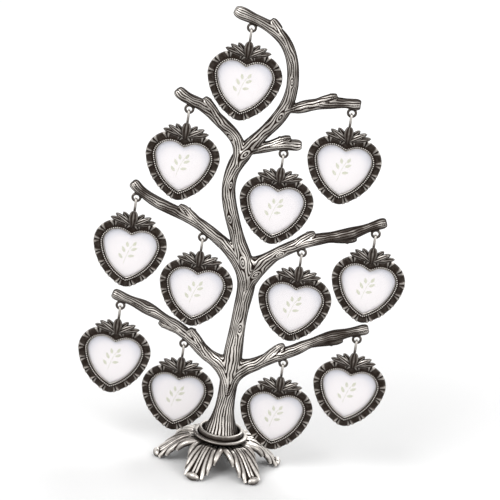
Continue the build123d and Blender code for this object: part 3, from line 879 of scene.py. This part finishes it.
def add_leaf(bm, wear_and_painted_light, angle, length, width, rear, lean, shine, blunt, crisp):
    """One crown leaf with parallel veins, closed at the rear."""
    turn = math.radians(angle)
    along = Vector((math.sin(turn), 0, math.cos(turn)))
    across = Vector((math.cos(turn), 0, -math.sin(turn)))
    root = Vector((0, 0, CROWN_RISE - CROWN_DROP))

    def place(column, row):
        side = 2 * column / LEAF_COLUMNS - 1
        reach = row / LEAF_ROWS
        swell = math.sin(math.pi * reach ** LEAF_BULGE) ** blunt
        half = LEAF_TIP_HALF + width / 2 * (LEAF_STALK * (1 - reach) + LEAF_BLADE * swell)
        vein = 0.5 + 0.5 * math.cos(side * VEIN_TURNS * math.pi)
        dome = 1 - side * side
        forward = rear + LEAF_EDGE + LEAF_DOME * dome + LEAF_VEIN * vein * dome + lean * reach * reach
        rubbed = LEAF_ROOT_SHINE + (1 - LEAF_ROOT_SHINE) * min(1.0, 2 * reach)
        point = root + along * (length * reach) + across * (half * side) + Vector((0, -forward, 0))
        return point, LEAF_DARK + shine * vein ** crisp * rubbed

    front = add_sheet(bm, LEAF_COLUMNS, LEAF_ROWS, place)
    made = bmesh.ops.extrude_face_region(bm, geom=list(faces_round(front)), use_keep_orig=True)
    for item in made["geom"]:
        if isinstance(item, bmesh.types.BMVert):
            item.co.y = -rear * MM
            item[wear_and_painted_light] = LEAF_REAR_WORN


def build_card_back():
    """One card with its printed sprig, and the board behind it, about the eyelet hole's centre."""
    bm = casting()
    outline = heart_points(REBATE - REBATE_FIT)[::2]
    count = len(outline)
    middle = Vector((0, -HEART_MIDDLE))

    def card(column, row):
        inset = row / CARD_RINGS
        point = outline[column % count].lerp(middle, inset)
        # The card's mark is painted shadow that the frame's edge casts: along the edges and towards the
        # upper edge
        upper = min(1.0, max(0.0, (point.y + CARD_SHADE_LOW) / CARD_SHADE_SPAN))
        edge = max(0.0, 1 - inset * CARD_EDGE_FADE)
        above, rim, upper_rim = CARD_SHADES
        return (point.x, -CARD_FRONT, point.y), min(1.0, above * upper + edge * (rim + upper_rim * upper))

    add_sheet(bm, count, CARD_RINGS, card)
    bmesh.ops.remove_doubles(bm, verts=bm.verts, dist=SEAM)
    edge = [e for e in bm.edges if e.is_boundary]
    made = bmesh.ops.extrude_edge_only(bm, edges=edge)
    lower = [item for item in made["geom"] if isinstance(item, bmesh.types.BMVert)]
    bmesh.ops.translate(bm, verts=lower, vec=(0, CARD_T * MM, 0))
    bmesh.ops.contextual_create(bm, geom=[e for e in made["geom"] if isinstance(e, bmesh.types.BMEdge)])
    add_board(bm, outline)
    add_sprig(bm)
    bmesh.ops.recalc_face_normals(bm, faces=[f for f in bm.faces if f.material_index != PRINT_SLOT])
    return bm


def add_board(bm, outline):
    """The push-in board: a plate with a soft rear edge and a shallow pressed panel."""
    count = len(outline)
    middle = Vector((0, -HEART_MIDDLE))

    def board(column, row):
        share, depth = BOARD_STEPS[row]
        point = middle.lerp(outline[column % count], share)
        return (point.x, -depth, point.y), 0.0

    plate = add_sheet(bm, count, len(BOARD_STEPS) - 1, board)
    faces = faces_round(plate)
    bmesh.ops.remove_doubles(bm, verts=plate, dist=SEAM)
    front = -BOARD_FRONT * MM
    rim = [e for e in bm.edges if e.is_boundary and all(abs(v.co.y - front) < SAME_PLACE for v in e.verts)]
    cover = bmesh.ops.contextual_create(bm, geom=rim)
    for face in faces | set(cover["faces"]):
        if face.is_valid:
            face.material_index = BOARD_SLOT


def add_sprig(bm):
    """A plain printed leaf sprig, just proud of the card's face."""
    for x, z, angle, length in SPRIG_LEAVES:
        add_blade(bm, x, z, angle, length, SPRIG_LEAF_W)
    for first, second in zip(SPRIG_STEM, SPRIG_STEM[1:]):
        run = Vector(second) - Vector(first)
        angle = math.degrees(math.atan2(run.y, run.x))
        add_blade(bm, first[0], first[1], angle, run.length * SPRIG_OVERLAP, SPRIG_STEM_W)


def add_blade(bm, x, z, angle, length, width):
    """One printed blade of the sprig."""
    level = -CARD_FRONT - SPRIG_PROUD
    turn = math.radians(angle)
    along = Vector((math.cos(turn), 0, math.sin(turn)))
    across = Vector((-math.sin(turn), 0, math.cos(turn)))

    def blade(column, row):
        reach = row / BLADE_ROWS
        side = 2 * column / BLADE_COLUMNS - 1
        half = BLADE_TIP_HALF
        if 0 < reach < 1:
            half = width / 2 * math.sin(math.pi * reach ** BLADE_BULGE) ** BLADE_BLUNT
        return Vector((x, level, z)) + along * (length * reach) + across * (half * side), 0.0

    for face in faces_round(add_sheet(bm, BLADE_COLUMNS, BLADE_ROWS, blade)):
        face.material_index = PRINT_SLOT
        face.normal_update()
        if face.normal.y > 0:
            face.normal_flip()


def dense_line(stations, step):
    """Points along a smooth line through the stations, as rows of x, y, z, radius in millimetres."""
    rows = np.array(stations, float)
    rows[:, 2] += SEAT_Z
    spans = np.linalg.norm(np.diff(rows[:, :3], axis=0), axis=1)
    knots = np.concatenate([[0.0], np.cumsum(spans)])
    slopes = np.gradient(rows, knots, axis=0)
    out = []
    for index, span in enumerate(spans):
        steps = max(2, int(span / step))
        for part in np.arange(steps) / steps:
            square = part * part
            cube = square * part
            out.append(
                (2 * cube - 3 * square + 1) * rows[index] + (cube - 2 * square + part) * span * slopes[index]
                + (3 * square - 2 * cube) * rows[index + 1] + (cube - square) * span * slopes[index + 1]
            )
    out.append(rows[-1])
    return np.array(out)


def waves(points, length, seed):
    """Smooth wandering values from -1 to 1 over points, with a wavelength in millimetres."""
    draw = np.random.default_rng(seed)
    total = np.zeros(len(points))
    for _ in range(WAVE_COUNT):
        direction = draw.normal(size=3)
        direction /= np.linalg.norm(direction)
        scale = 2 * math.pi / (length * draw.uniform(*WAVE_LENGTHS))
        total += np.sin(points @ direction * scale + draw.uniform(0, 2 * math.pi))
    return total / WAVE_COUNT * WAVE_GAIN


def limb_field(points, stations):
    """Points' distance from a limb in its radii, their side of it, how far back, and its usual radius."""
    line = dense_line(stations, FIELD_STEP)
    best = np.full(len(points), np.inf)
    side = np.ones(len(points))
    back = np.zeros(len(points))
    for (x, y, z, size), run in zip(line, np.gradient(line, axis=0)):
        right = points[:, 0] - x
        up = points[:, 2] - z
        gap = np.hypot(right, up) / size
        closer = gap < best
        best[closer] = gap[closer]
        side[closer] = np.sign(run[2] * right[closer] - run[0] * up[closer])
        back[closer] = (points[closer, 1] - y) / size
    return best, side, back, float(np.median(line[:, 3]))


def twig_lines():
    """Stations of the cut-off twigs, which rise out of their limbs towards the limb's tip."""
    lines = []
    for name, index, side, reach in TWIGS:
        before, (x, y, height, size), after = LIMBS[name][index - 1:index + 2]
        run = Vector((after[0] - before[0], after[2] - before[2])).normalized()
        back = Vector((x - before[0], height - before[2])).normalized()
        up = Vector((-run.y, run.x)) * (side if run.x > 0 else -side)
        line = []
        for step, (along, off, thick) in enumerate(TWIG_LINE):
            along += reach * step / (len(TWIG_LINE) - 1)
            spot = Vector((x, height)) + (run if along > 0 else back) * (along * size) + up * (off * size)
            line.append((spot.x, y, spot.y, thick * size))
        lines.append(line)
    return lines


def grain_phase(points, pitch):
    """Grain lines along the limbs, parting round the knots; how freely they wander; how limbs blend."""
    limbs = list(LIMBS.values()) + twig_lines()
    near, sides, backs, radii = zip(*[limb_field(points, stations) for stations in limbs])
    near = np.array(near)
    lines = np.round(2 * math.pi * np.array(radii) / pitch)
    nearest = near.argmin(axis=0)
    weights = np.exp(-FORK_SHARP * (near - near.min(axis=0)))
    weights /= weights.sum(axis=0)
    side = np.array(sides)[nearest, np.arange(len(points))]
    back = (np.array(backs) * weights).sum(axis=0)
    turn = np.arctan2((near * weights).sum(axis=0), -back)
    phase = side * turn / (2 * math.pi) * (lines[:, None] * weights).sum(axis=0)
    front = 1 / (1 + np.exp(FRONT_SHARP * back))
    free = np.ones(len(points))
    for x, height, size, lean in KNOTS:
        tilt = math.radians(lean)
        right = points[:, 0] - x
        up = points[:, 2] - SEAT_Z - height
        across = (right * math.cos(tilt) + up * math.sin(tilt)) / size
        along = (up * math.cos(tilt) - right * math.sin(tilt)) / (size * KNOT_STRETCH)
        away = np.hypot(across, along)
        outside = np.clip(away ** 2 - 1, 0, None)
        level = phase[(away < 1) & (front > 0.5)].mean()
        parted = level + (phase - level) * (1 - np.exp(-KNOT_SPREAD * outside))
        parted += KNOT_RINGS * np.clip(1 - away, 0, None)
        phase += (parted - phase) * front
        free = np.minimum(free, 1 - front * np.exp(-KNOT_CALM * KNOT_SPREAD * outside))
    return phase, free, 1 - weights.max(axis=0)


def share_of(values):
    """Values cut off below 0 and above 1."""
    return np.clip(values, 0.0, 1.0)


class PHOTOTREE_OT_limbs(bpy.types.Operator):
    """Cast trunk, leader and branches in one skin, with bark grain cut into it"""

    bl_idname = "phototree.limbs"
    bl_label = "Cast limbs"

    def execute(self, context):
        settings = context.scene.photo_tree_limbs
        bm = bmesh.new()
        for _, _, _, nodes in LIMB_PIECES:
            for name in nodes:
                bm.from_mesh(frame["nodes"][name].data)
        bmesh.ops.remove_doubles(bm, verts=bm.verts, dist=WELD)
        for line in [LIMBS[name][:count] for name, count in ROOT_WEBS.items()] + twig_lines():
            add_tube(bm, [(x, y, SEAT_Z + height, size) for x, y, height, size in line])
        for x, y, z in HOLES:
            ring = [(EYELET_RING * math.cos(turn), EYELET_RING * math.sin(turn)) for turn in EYELET_TURNS]
            add_tube(bm, [(x + right, y, z + up, EYELET_THICK) for right, up in ring], closed=True)
        skin = voxel_skin(bm, settings.voxel * (1.0))
        bm = bmesh.new()
        take_in(bm, skin)
        self.rub_down_stub(bm)
        smooth(bm, bm.verts, SKIN_SMOOTH)
        soft = []
        for vert in bm.verts:
            x, z = vert.co.x / MM, vert.co.z / MM - SEAT_Z
            if any(math.hypot(x - fx, z - fz) < reach for fx, fz, reach in FORKS):
                soft.append(vert)
        smooth(bm, soft, settings.fork_smooth)
        self.ream_eyelets(bm)
        self.cut_grain(bm, settings)
        self.part_pieces(bm)
        return {"FINISHED"}

    def rub_down_stub(self, bm):
        """Rubs the stub on the top limb's bend down to the limb."""
        line = [(Vector(point[:3]), point[3]) for point in dense_line(LIMBS["stem"], STUB_STEP)]
        for vert in bm.verts:
            spot = vert.co / MM
            if (spot - STUB_SPOT).length < STUB_REACH:
                middle, size = min(line, key=lambda pair: (pair[0] - spot).length)
                away = spot - middle
                if away.length > size:
                    vert.co += (away.normalized() * size - away) * MM

    def ream_eyelets(self, bm):
        """Opens the eyelets' holes clear of their links."""
        points = np.array([vert.co for vert in bm.verts]) / MM
        bm.verts.ensure_lookup_table()
        for hole in HOLES:
            across = np.hypot(points[:, 0] - hole.x, points[:, 2] - hole.z)
            near = (across < EYELET_HOLE) & (np.abs(points[:, 1] - hole.y) < EYELET_RING)
            for index in np.flatnonzero(near):
                away = Vector((points[index, 0] - hole.x, 0, points[index, 2] - hole.z))
                bm.verts[index].co += (away.normalized() * EYELET_HOLE - away) * MM

    def cut_grain(self, bm, settings):
        """Cuts the grooves and marks the grain, and each point's wear with painted light and shade."""
        bm.normal_update()
        bm.verts.index_update()
        points = np.array([vert.co for vert in bm.verts]) / MM
        normals = np.array([vert.normal for vert in bm.verts])
        phase, free, blend = grain_phase(points, settings.grain_pitch / MM)
        height = points[:, 2] - SEAT_Z
        flare = share_of(1 - height / FLARE_H)
        rise = share_of((height - THINNING[0]) / (THINNING[1] - THINNING[0]))
        phase *= (1 + FLARE_LINES * flare) * (LINES_LOW + (LINES_HIGH - LINES_LOW) * rise)
        wander = sum(share * waves(points, length, seed) for share, length, seed in WANDER)
        phase += free * (1 - FLARE_CALM * flare) * wander
        ridge = np.abs(np.sin(math.pi * phase))
        eyelet = np.zeros(len(points))
        for hole in HOLES:
            gap = np.linalg.norm(points - np.array(hole), axis=1)
            eyelet = np.maximum(eyelet, share_of((EYELET_BARE - gap) / EYELET_FADE))
        bark = np.minimum(share_of(height / BARK_FROM), 1 - eyelet)
        uneven = np.clip(DEPTH_USUAL + DEPTH_VARIES * waves(points, *DEPTH_WAVE), *DEPTH_SPAN)
        depth = settings.grain_depth / MM * bark * uneven
        worn_and_painted_light = np.clip(self.bark_wear_and_painted_light(points, normals, blend, rise), BARK_WEAR_AND_LIGHT["least"], 1.0) * bark
        # Painted highlight on the eyelets' upward faces
        bare = BARK_WEAR_AND_LIGHT["bare"] + eyelet * (BARK_WEAR_AND_LIGHT["eyelet"] + BARK_WEAR_AND_LIGHT["eyelet_painted_highlight"] * normals[:, 2])
        worn_and_painted_light += bare * (1 - bark)
        wear_and_painted_light = bm.verts.layers.float.new("wear_and_painted_light")
        cover = bm.verts.layers.float.new("bark")
        for vert, cut, mark, covered in zip(bm.verts, depth * (ridge - GROOVE_TOP), worn_and_painted_light, bark):
            vert.co += vert.normal * (cut * MM)
            vert[wear_and_painted_light] = mark
            vert[cover] = covered
        grain = bm.loops.layers.float.new("grain")
        for face in bm.faces:
            first = phase[face.loops[0].vert.index]
            for loop in face.loops:
                line = phase[loop.vert.index]
                loop[grain] = line - round(line - first)

    def bark_wear_and_painted_light(self, points, normals, blend, rise):
        """How far the bark is rubbed bright at each point, with painted light and shade by the way it faces.
        """
        facing = np.abs(normals[:, 1])
        up = normals[:, 2]
        # Painted reflection where the bark faces front or back, painted light on top, and painted shade
        # underneath and on the right-facing side
        rubbed = BARK_WEAR_AND_LIGHT["side"] + BARK_WEAR_AND_LIGHT["facing"] * share_of((facing - FACING_FROM) / FACING_SPAN)
        rubbed += BARK_WEAR_AND_LIGHT["up"] * up + BARK_WEAR_AND_LIGHT["under"] * np.minimum(up, 0.0) - BARK_WEAR_AND_LIGHT["right"] * normals[:, 0]
        rubbed -= BARK_WEAR_AND_LIGHT["fork"] * blend * (1 - facing)
        outer = np.where(points[:, 0] > 0, OUTER_DARK[1], OUTER_DARK[0])
        rubbed -= outer * share_of((np.abs(points[:, 0]) - OUTER_FROM) / OUTER_FROM) + TOP_DARK * rise
        for stations in LIMBS.values():
            x, y, level, _ = stations[-1]
            gap = np.linalg.norm(points - np.array((x, y, SEAT_Z + level)), axis=1)
            rubbed += TIP_WORN * share_of(1 - gap / TIP_REACH)
        return rubbed + BARK_WEAR_AND_LIGHT["patchy"] * waves(points, *PATCH_WAVE)

    def part_pieces(self, bm):
        """Parts the skin by height into pieces of a workable size."""
        metal = pewter("pewter_bark", fine_scale=160.0, polish=0.92, grained=True)
        for title, low, high, nodes in LIMB_PIECES:
            part = bm.copy()
            gone = [face for face in part.faces if not low <= face.calc_center_median().z / MM < high]
            bmesh.ops.delete(part, geom=gone, context="FACES")
            mesh_piece(title, part, [metal], "stand", nodes)
        bm.free()


class PHOTOTREE_OT_saucer(bpy.types.Operator):
    """Turned saucer with its ring ridge and grooves"""

    bl_idname = "phototree.saucer"
    bl_label = "Saucer"

    def execute(self, context):
        bm = casting()
        wear_and_painted_light = bm.verts.layers.float["wear_and_painted_light"]
        verts = []
        for radius, height, mark in SAUCER:
            vert = bm.verts.new((radius * MM, 0, height * MM))
            vert[wear_and_painted_light] = mark
            verts.append(vert)
        edges = [bm.edges.new(pair) for pair in zip(verts, verts[1:] + verts[:1])]
        bmesh.ops.spin(
            bm, geom=verts + edges, cent=(0, 0, 0), axis=(0, 0, 1), dvec=(0, 0, 0), angle=2 * math.pi,
            steps=SAUCER_STEPS, use_merge=True,
        )
        bmesh.ops.recalc_face_normals(bm, faces=bm.faces)
        metal = pewter("pewter_saucer", fine_scale=260.0, polish=0.66)
        mesh_piece("saucer", bm, [metal], "stand", ["base_dish"], SHARP_METAL)
        return {"FINISHED"}


def foot_height(radius):
    """Height of the leaf foot's back at a radius."""
    return float(np.interp(radius, [row[0] for row in FOOT_SPINE], [row[1] for row in FOOT_SPINE]))


def foot_skin():
    """One leaf foot along +X: the leaf's back, twin rib, fleshy lobes and rolled toe in one skin."""
    bm = casting()

    def leaf(column, row):
        radius, height, half = FOOT_SPINE[row]
        side = 2 * column / FOOT_COLUMNS - 1
        return (radius, half * side, height - FOOT_SUNK - FOOT_ARCH * side * side), 0.0

    faces = list(faces_round(add_sheet(bm, FOOT_COLUMNS, len(FOOT_SPINE) - 1, leaf)))
    bmesh.ops.recalc_face_normals(bm, faces=faces)
    bmesh.ops.solidify(bm, geom=faces, thickness=FOOT_THICK * MM)
    for line in [FOOT_RIBS] + FOOT_LOBES:
        for side in (1, -1):
            add_tube(bm, [(x, y * side, foot_height(x) - drop, size) for x, y, drop, size in line])
    roll = Matrix.Translation(Vector((TOE_R, 0, TOE_H / 2)) * MM)
    roll = roll @ Matrix.Diagonal((TOE_DEEP, TOE_HALF, TOE_H / 2, 1))
    bmesh.ops.create_uvsphere(bm, u_segments=24, v_segments=14, radius=MM, matrix=roll)
    return voxel_skin(bm, FOOT_VOXEL * MM)


class PHOTOTREE_OT_leaf_feet(bpy.types.Operator):
    """Six fleshy leaf feet with midribs, lobes and rolled toes"""

    bl_idname = "phototree.leaf_feet"
    bl_label = "Leaf feet"

    def execute(self, context):
        bm = casting()
        take_in(bm, foot_skin())
        smooth(bm, bm.verts, FOOT_SMOOTH)
        bm.normal_update()
        self.rub_ridges_and_paint_light(bm)
        for vert in bm.verts:
            vert.co.z = max(vert.co.z, 0.0)
        metal = pewter("pewter_feet", fine_scale=300.0, polish=1.0)
        for title, feet in FOOT_PIECES:
            whole = casting()
            for foot in feet:
                mesh = mesh_of("foot", bm.copy())
                turn = math.radians(FOOT_TURN + foot * 360 / FOOT_COUNT)
                mesh.transform(Matrix.Rotation(turn, 4, "Z"))
                take_in(whole, mesh)
            mesh_piece(title, whole, [metal], "stand", ["leaf_feet"])
        bm.free()
        return {"FINISHED"}

    def rub_ridges_and_paint_light(self, bm):
        """Marks as rubbed what stands proud of a much smoother foot, with painted light on what faces up and
        painted shade on what faces down.
        """
        wear_and_painted_light = bm.verts.layers.float["wear_and_painted_light"]
        soft = bm.copy()
        smooth(soft, soft.verts, FOOT_CALM)
        for vert, calm in zip(bm.verts, soft.verts):
            proud = (vert.co - calm.co).dot(vert.normal) / MM
            # Painted light on what faces up, painted shade on what faces down
            mark = FOOT_WORN + FOOT_PROUD * proud + FOOT_PAINTED_LIGHT * max(vert.normal.z, FOOT_SHADE_LIMIT)
            vert[wear_and_painted_light] = min(1.0, max(0.0, mark))
        soft.free()


class PHOTOTREE_OT_heart_frames(bpy.types.Operator):
    """Heart frames with pleated rims, beaded borders, leaf crowns and bails"""

    bl_idname = "phototree.heart_frames"
    bl_label = "Heart frames"

    def execute(self, context):
        metal = pewter("pewter_frame", fine_scale=420.0, polish=0.78)
        master = build_heart_frame(context.scene.photo_tree_hearts)
        hang_copies(master, "frame_cast", [metal], "heart", "heart_frame", SHARP_METAL)
        return {"FINISHED"}


class PHOTOTREE_OT_card_backs(bpy.types.Operator):
    """White cards with a printed sprig, on push-in boards"""

    bl_idname = "phototree.card_backs"
    bl_label = "Cards and backs"

    def execute(self, context):
        finish = context.scene.photo_tree_finish
        tint = tuple(finish.sprig)
        pairs = zip(tint, finish.card_white)
        pale = tuple(SPRIG_INK * part + (1 - SPRIG_INK) * white for part, white in pairs)
        papers = [
            card_paper(),
            mottled("sprig_print", tint, pale, scale=700.0, roughness=0.6),
            mottled("pressed_board", *BOARD_TONES, scale=900.0, roughness=0.85),
        ]
        hang_copies(build_card_back(), "card_back", papers, "back", "photo_back", SHARP_CARD)
        return {"FINISHED"}


class PHOTOTREE_OT_links_windows(bpy.types.Operator):
    """Finishes of the wire links, clear windows and trunk screw"""

    bl_idname = "phototree.links_windows"
    bl_label = "Links, windows and screw"

    def execute(self, context):
        finishes = {
            "trunk_screw": bright_wire(),
            "link_": pewter("pewter_link", fine_scale=500.0, polish=0.78),
            "window_": clear_pane(),
        }
        for name, node in frame["nodes"].items():
            for start, finish in finishes.items():
                if name.startswith(start):
                    node.data.materials.clear()
                    node.data.materials.append(finish)
            if name.startswith("link_"):
                self.mark_link(node.data)
        return {"FINISHED"}

    def mark_link(self, mesh):
        """Marks a link as rubbed bright above, with painted shade on its dark lower end."""
        heights = np.array([vert.co.z for vert in mesh.vertices])
        share = (heights - heights.min()) / np.ptp(heights)
        wear_and_painted_light = mesh.attributes.new("wear_and_painted_light", "FLOAT", "POINT")
        # Painted shade on the lower end, rubbed brightness above
        worn_and_painted_light = LINK_PAINTED_SHADE + LINK_BRIGHT * share_of((share - LINK_CHANGE) / LINK_FADE)
        wear_and_painted_light.data.foreach_set("value", worn_and_painted_light)


class PHOTOTREE_OT_stage(bpy.types.Operator):
    """Pale floor, soft studio light and the camera"""

    bl_idname = "phototree.stage"
    bl_label = "Stage"

    def execute(self, context):
        scene = context.scene
        scene.view_settings.view_transform = "Standard"
        self.add_floor()
        self.add_world(scene)
        self.add_lamps()
        self.add_camera(scene)
        return {"FINISHED"}

    def add_floor(self):
        """A wide white floor that keeps the object's shadow."""
        bm = bmesh.new()
        bmesh.ops.create_grid(bm, x_segments=4, y_segments=4, size=FLOOR_HALF)
        mesh = mesh_of("floor", bm)
        material, tree, shader = node_tree("floor_white")
        stops = [(0.0, (0.97, 0.97, 0.97, 1.0)), (1.0, (0.99, 0.99, 0.99, 1.0))]
        fill(tree, shader, {"Base Color": ramp(tree, noise(tree, scale=3.0), stops), "Roughness": 0.9})
        mesh.materials.append(material)
        floor = placed("floor", mesh)

    def add_world(self, scene):
        """White to the camera, to gloss and through glass; a softer level for light."""
        world = bpy.data.worlds.new("studio")
        world.use_nodes = True
        scene.world = world
        tree = world.node_tree
        path = tree.nodes.new("ShaderNodeLightPath").outputs
        seen = maths(tree, "MAXIMUM", path["Is Camera Ray"], path["Is Glossy Ray"])
        through = maths(tree, "MAXIMUM", seen, path["Is Transmission Ray"])
        strength = between(tree, through, WORLD_LIGHT, WORLD_SEEN)
        fill(tree, tree.nodes["Background"], {"Color": (1.0, 1.0, 1.0, 1.0), "Strength": strength})

    def add_lamps(self):
        """A broad key from the upper left, a fill from the right and a rim light from behind."""
        for name, spot, size, power in LAMPS:
            lamp = bpy.data.lights.new(name, "AREA")
            lamp.size = size
            lamp.energy = power
            holder = placed(name, lamp)
            holder.location = spot
            holder.rotation_euler = (LAMP_AIM - Vector(spot)).to_track_quat("-Z", "Y").to_euler()

    def add_camera(self, scene):
        """The photo's view: front on, looking down, with a slight roll."""
        settings = scene.photo_tree_stage
        data = bpy.data.cameras.new("camera")
        data.lens = settings.lens
        data.sensor_width = SENSOR_W
        camera = placed("camera", data)
        back = Vector((0, -math.cos(settings.pitch), math.sin(settings.pitch)))
        look = Matrix.Rotation(math.pi / 2 - settings.pitch, 4, "X")
        roll = Matrix.Rotation(settings.roll, 4, "Z")
        camera.matrix_world = Matrix.Translation(CAMERA_AIM + back * settings.distance) @ look @ roll
        scene.camera = camera


class PHOTOTREE_PT_panel(bpy.types.Panel):
    """Photo tree stand"""

    bl_idname = "PHOTOTREE_PT_panel"
    bl_label = "Photo tree"
    bl_space_type = "VIEW_3D"
    bl_region_type = "UI"
    bl_category = "Photo tree"

    def draw(self, context):
        for operator in OPERATORS:
            self.layout.operator(operator.bl_idname)


OPERATORS = (
    PHOTOTREE_OT_limbs,
    PHOTOTREE_OT_saucer,
    PHOTOTREE_OT_leaf_feet,
    PHOTOTREE_OT_heart_frames,
    PHOTOTREE_OT_card_backs,
    PHOTOTREE_OT_links_windows,
    PHOTOTREE_OT_stage,
)
SETTINGS = {
    "photo_tree_limbs": LimbSettings,
    "photo_tree_hearts": HeartSettings,
    "photo_tree_finish": FinishSettings,
    "photo_tree_stage": StageSettings,
}
CLASSES = tuple(SETTINGS.values()) + OPERATORS + (PHOTOTREE_PT_panel,)


def register():
    for cls in CLASSES:
        bpy.utils.register_class(cls)
    for name, group in SETTINGS.items():
        setattr(bpy.types.Scene, name, PointerProperty(type=group))


def unregister():
    for name in SETTINGS:
        delattr(bpy.types.Scene, name)
    for cls in reversed(CLASSES):
        bpy.utils.unregister_class(cls)


def main():
    register()
    bpy.ops.phototree.limbs()
    bpy.ops.phototree.saucer()
    bpy.ops.phototree.leaf_feet()
    bpy.ops.phototree.heart_frames()
    bpy.ops.phototree.card_backs()
    bpy.ops.phototree.links_windows()
    bpy.ops.phototree.stage()


if __name__ == "__main__":
    main()
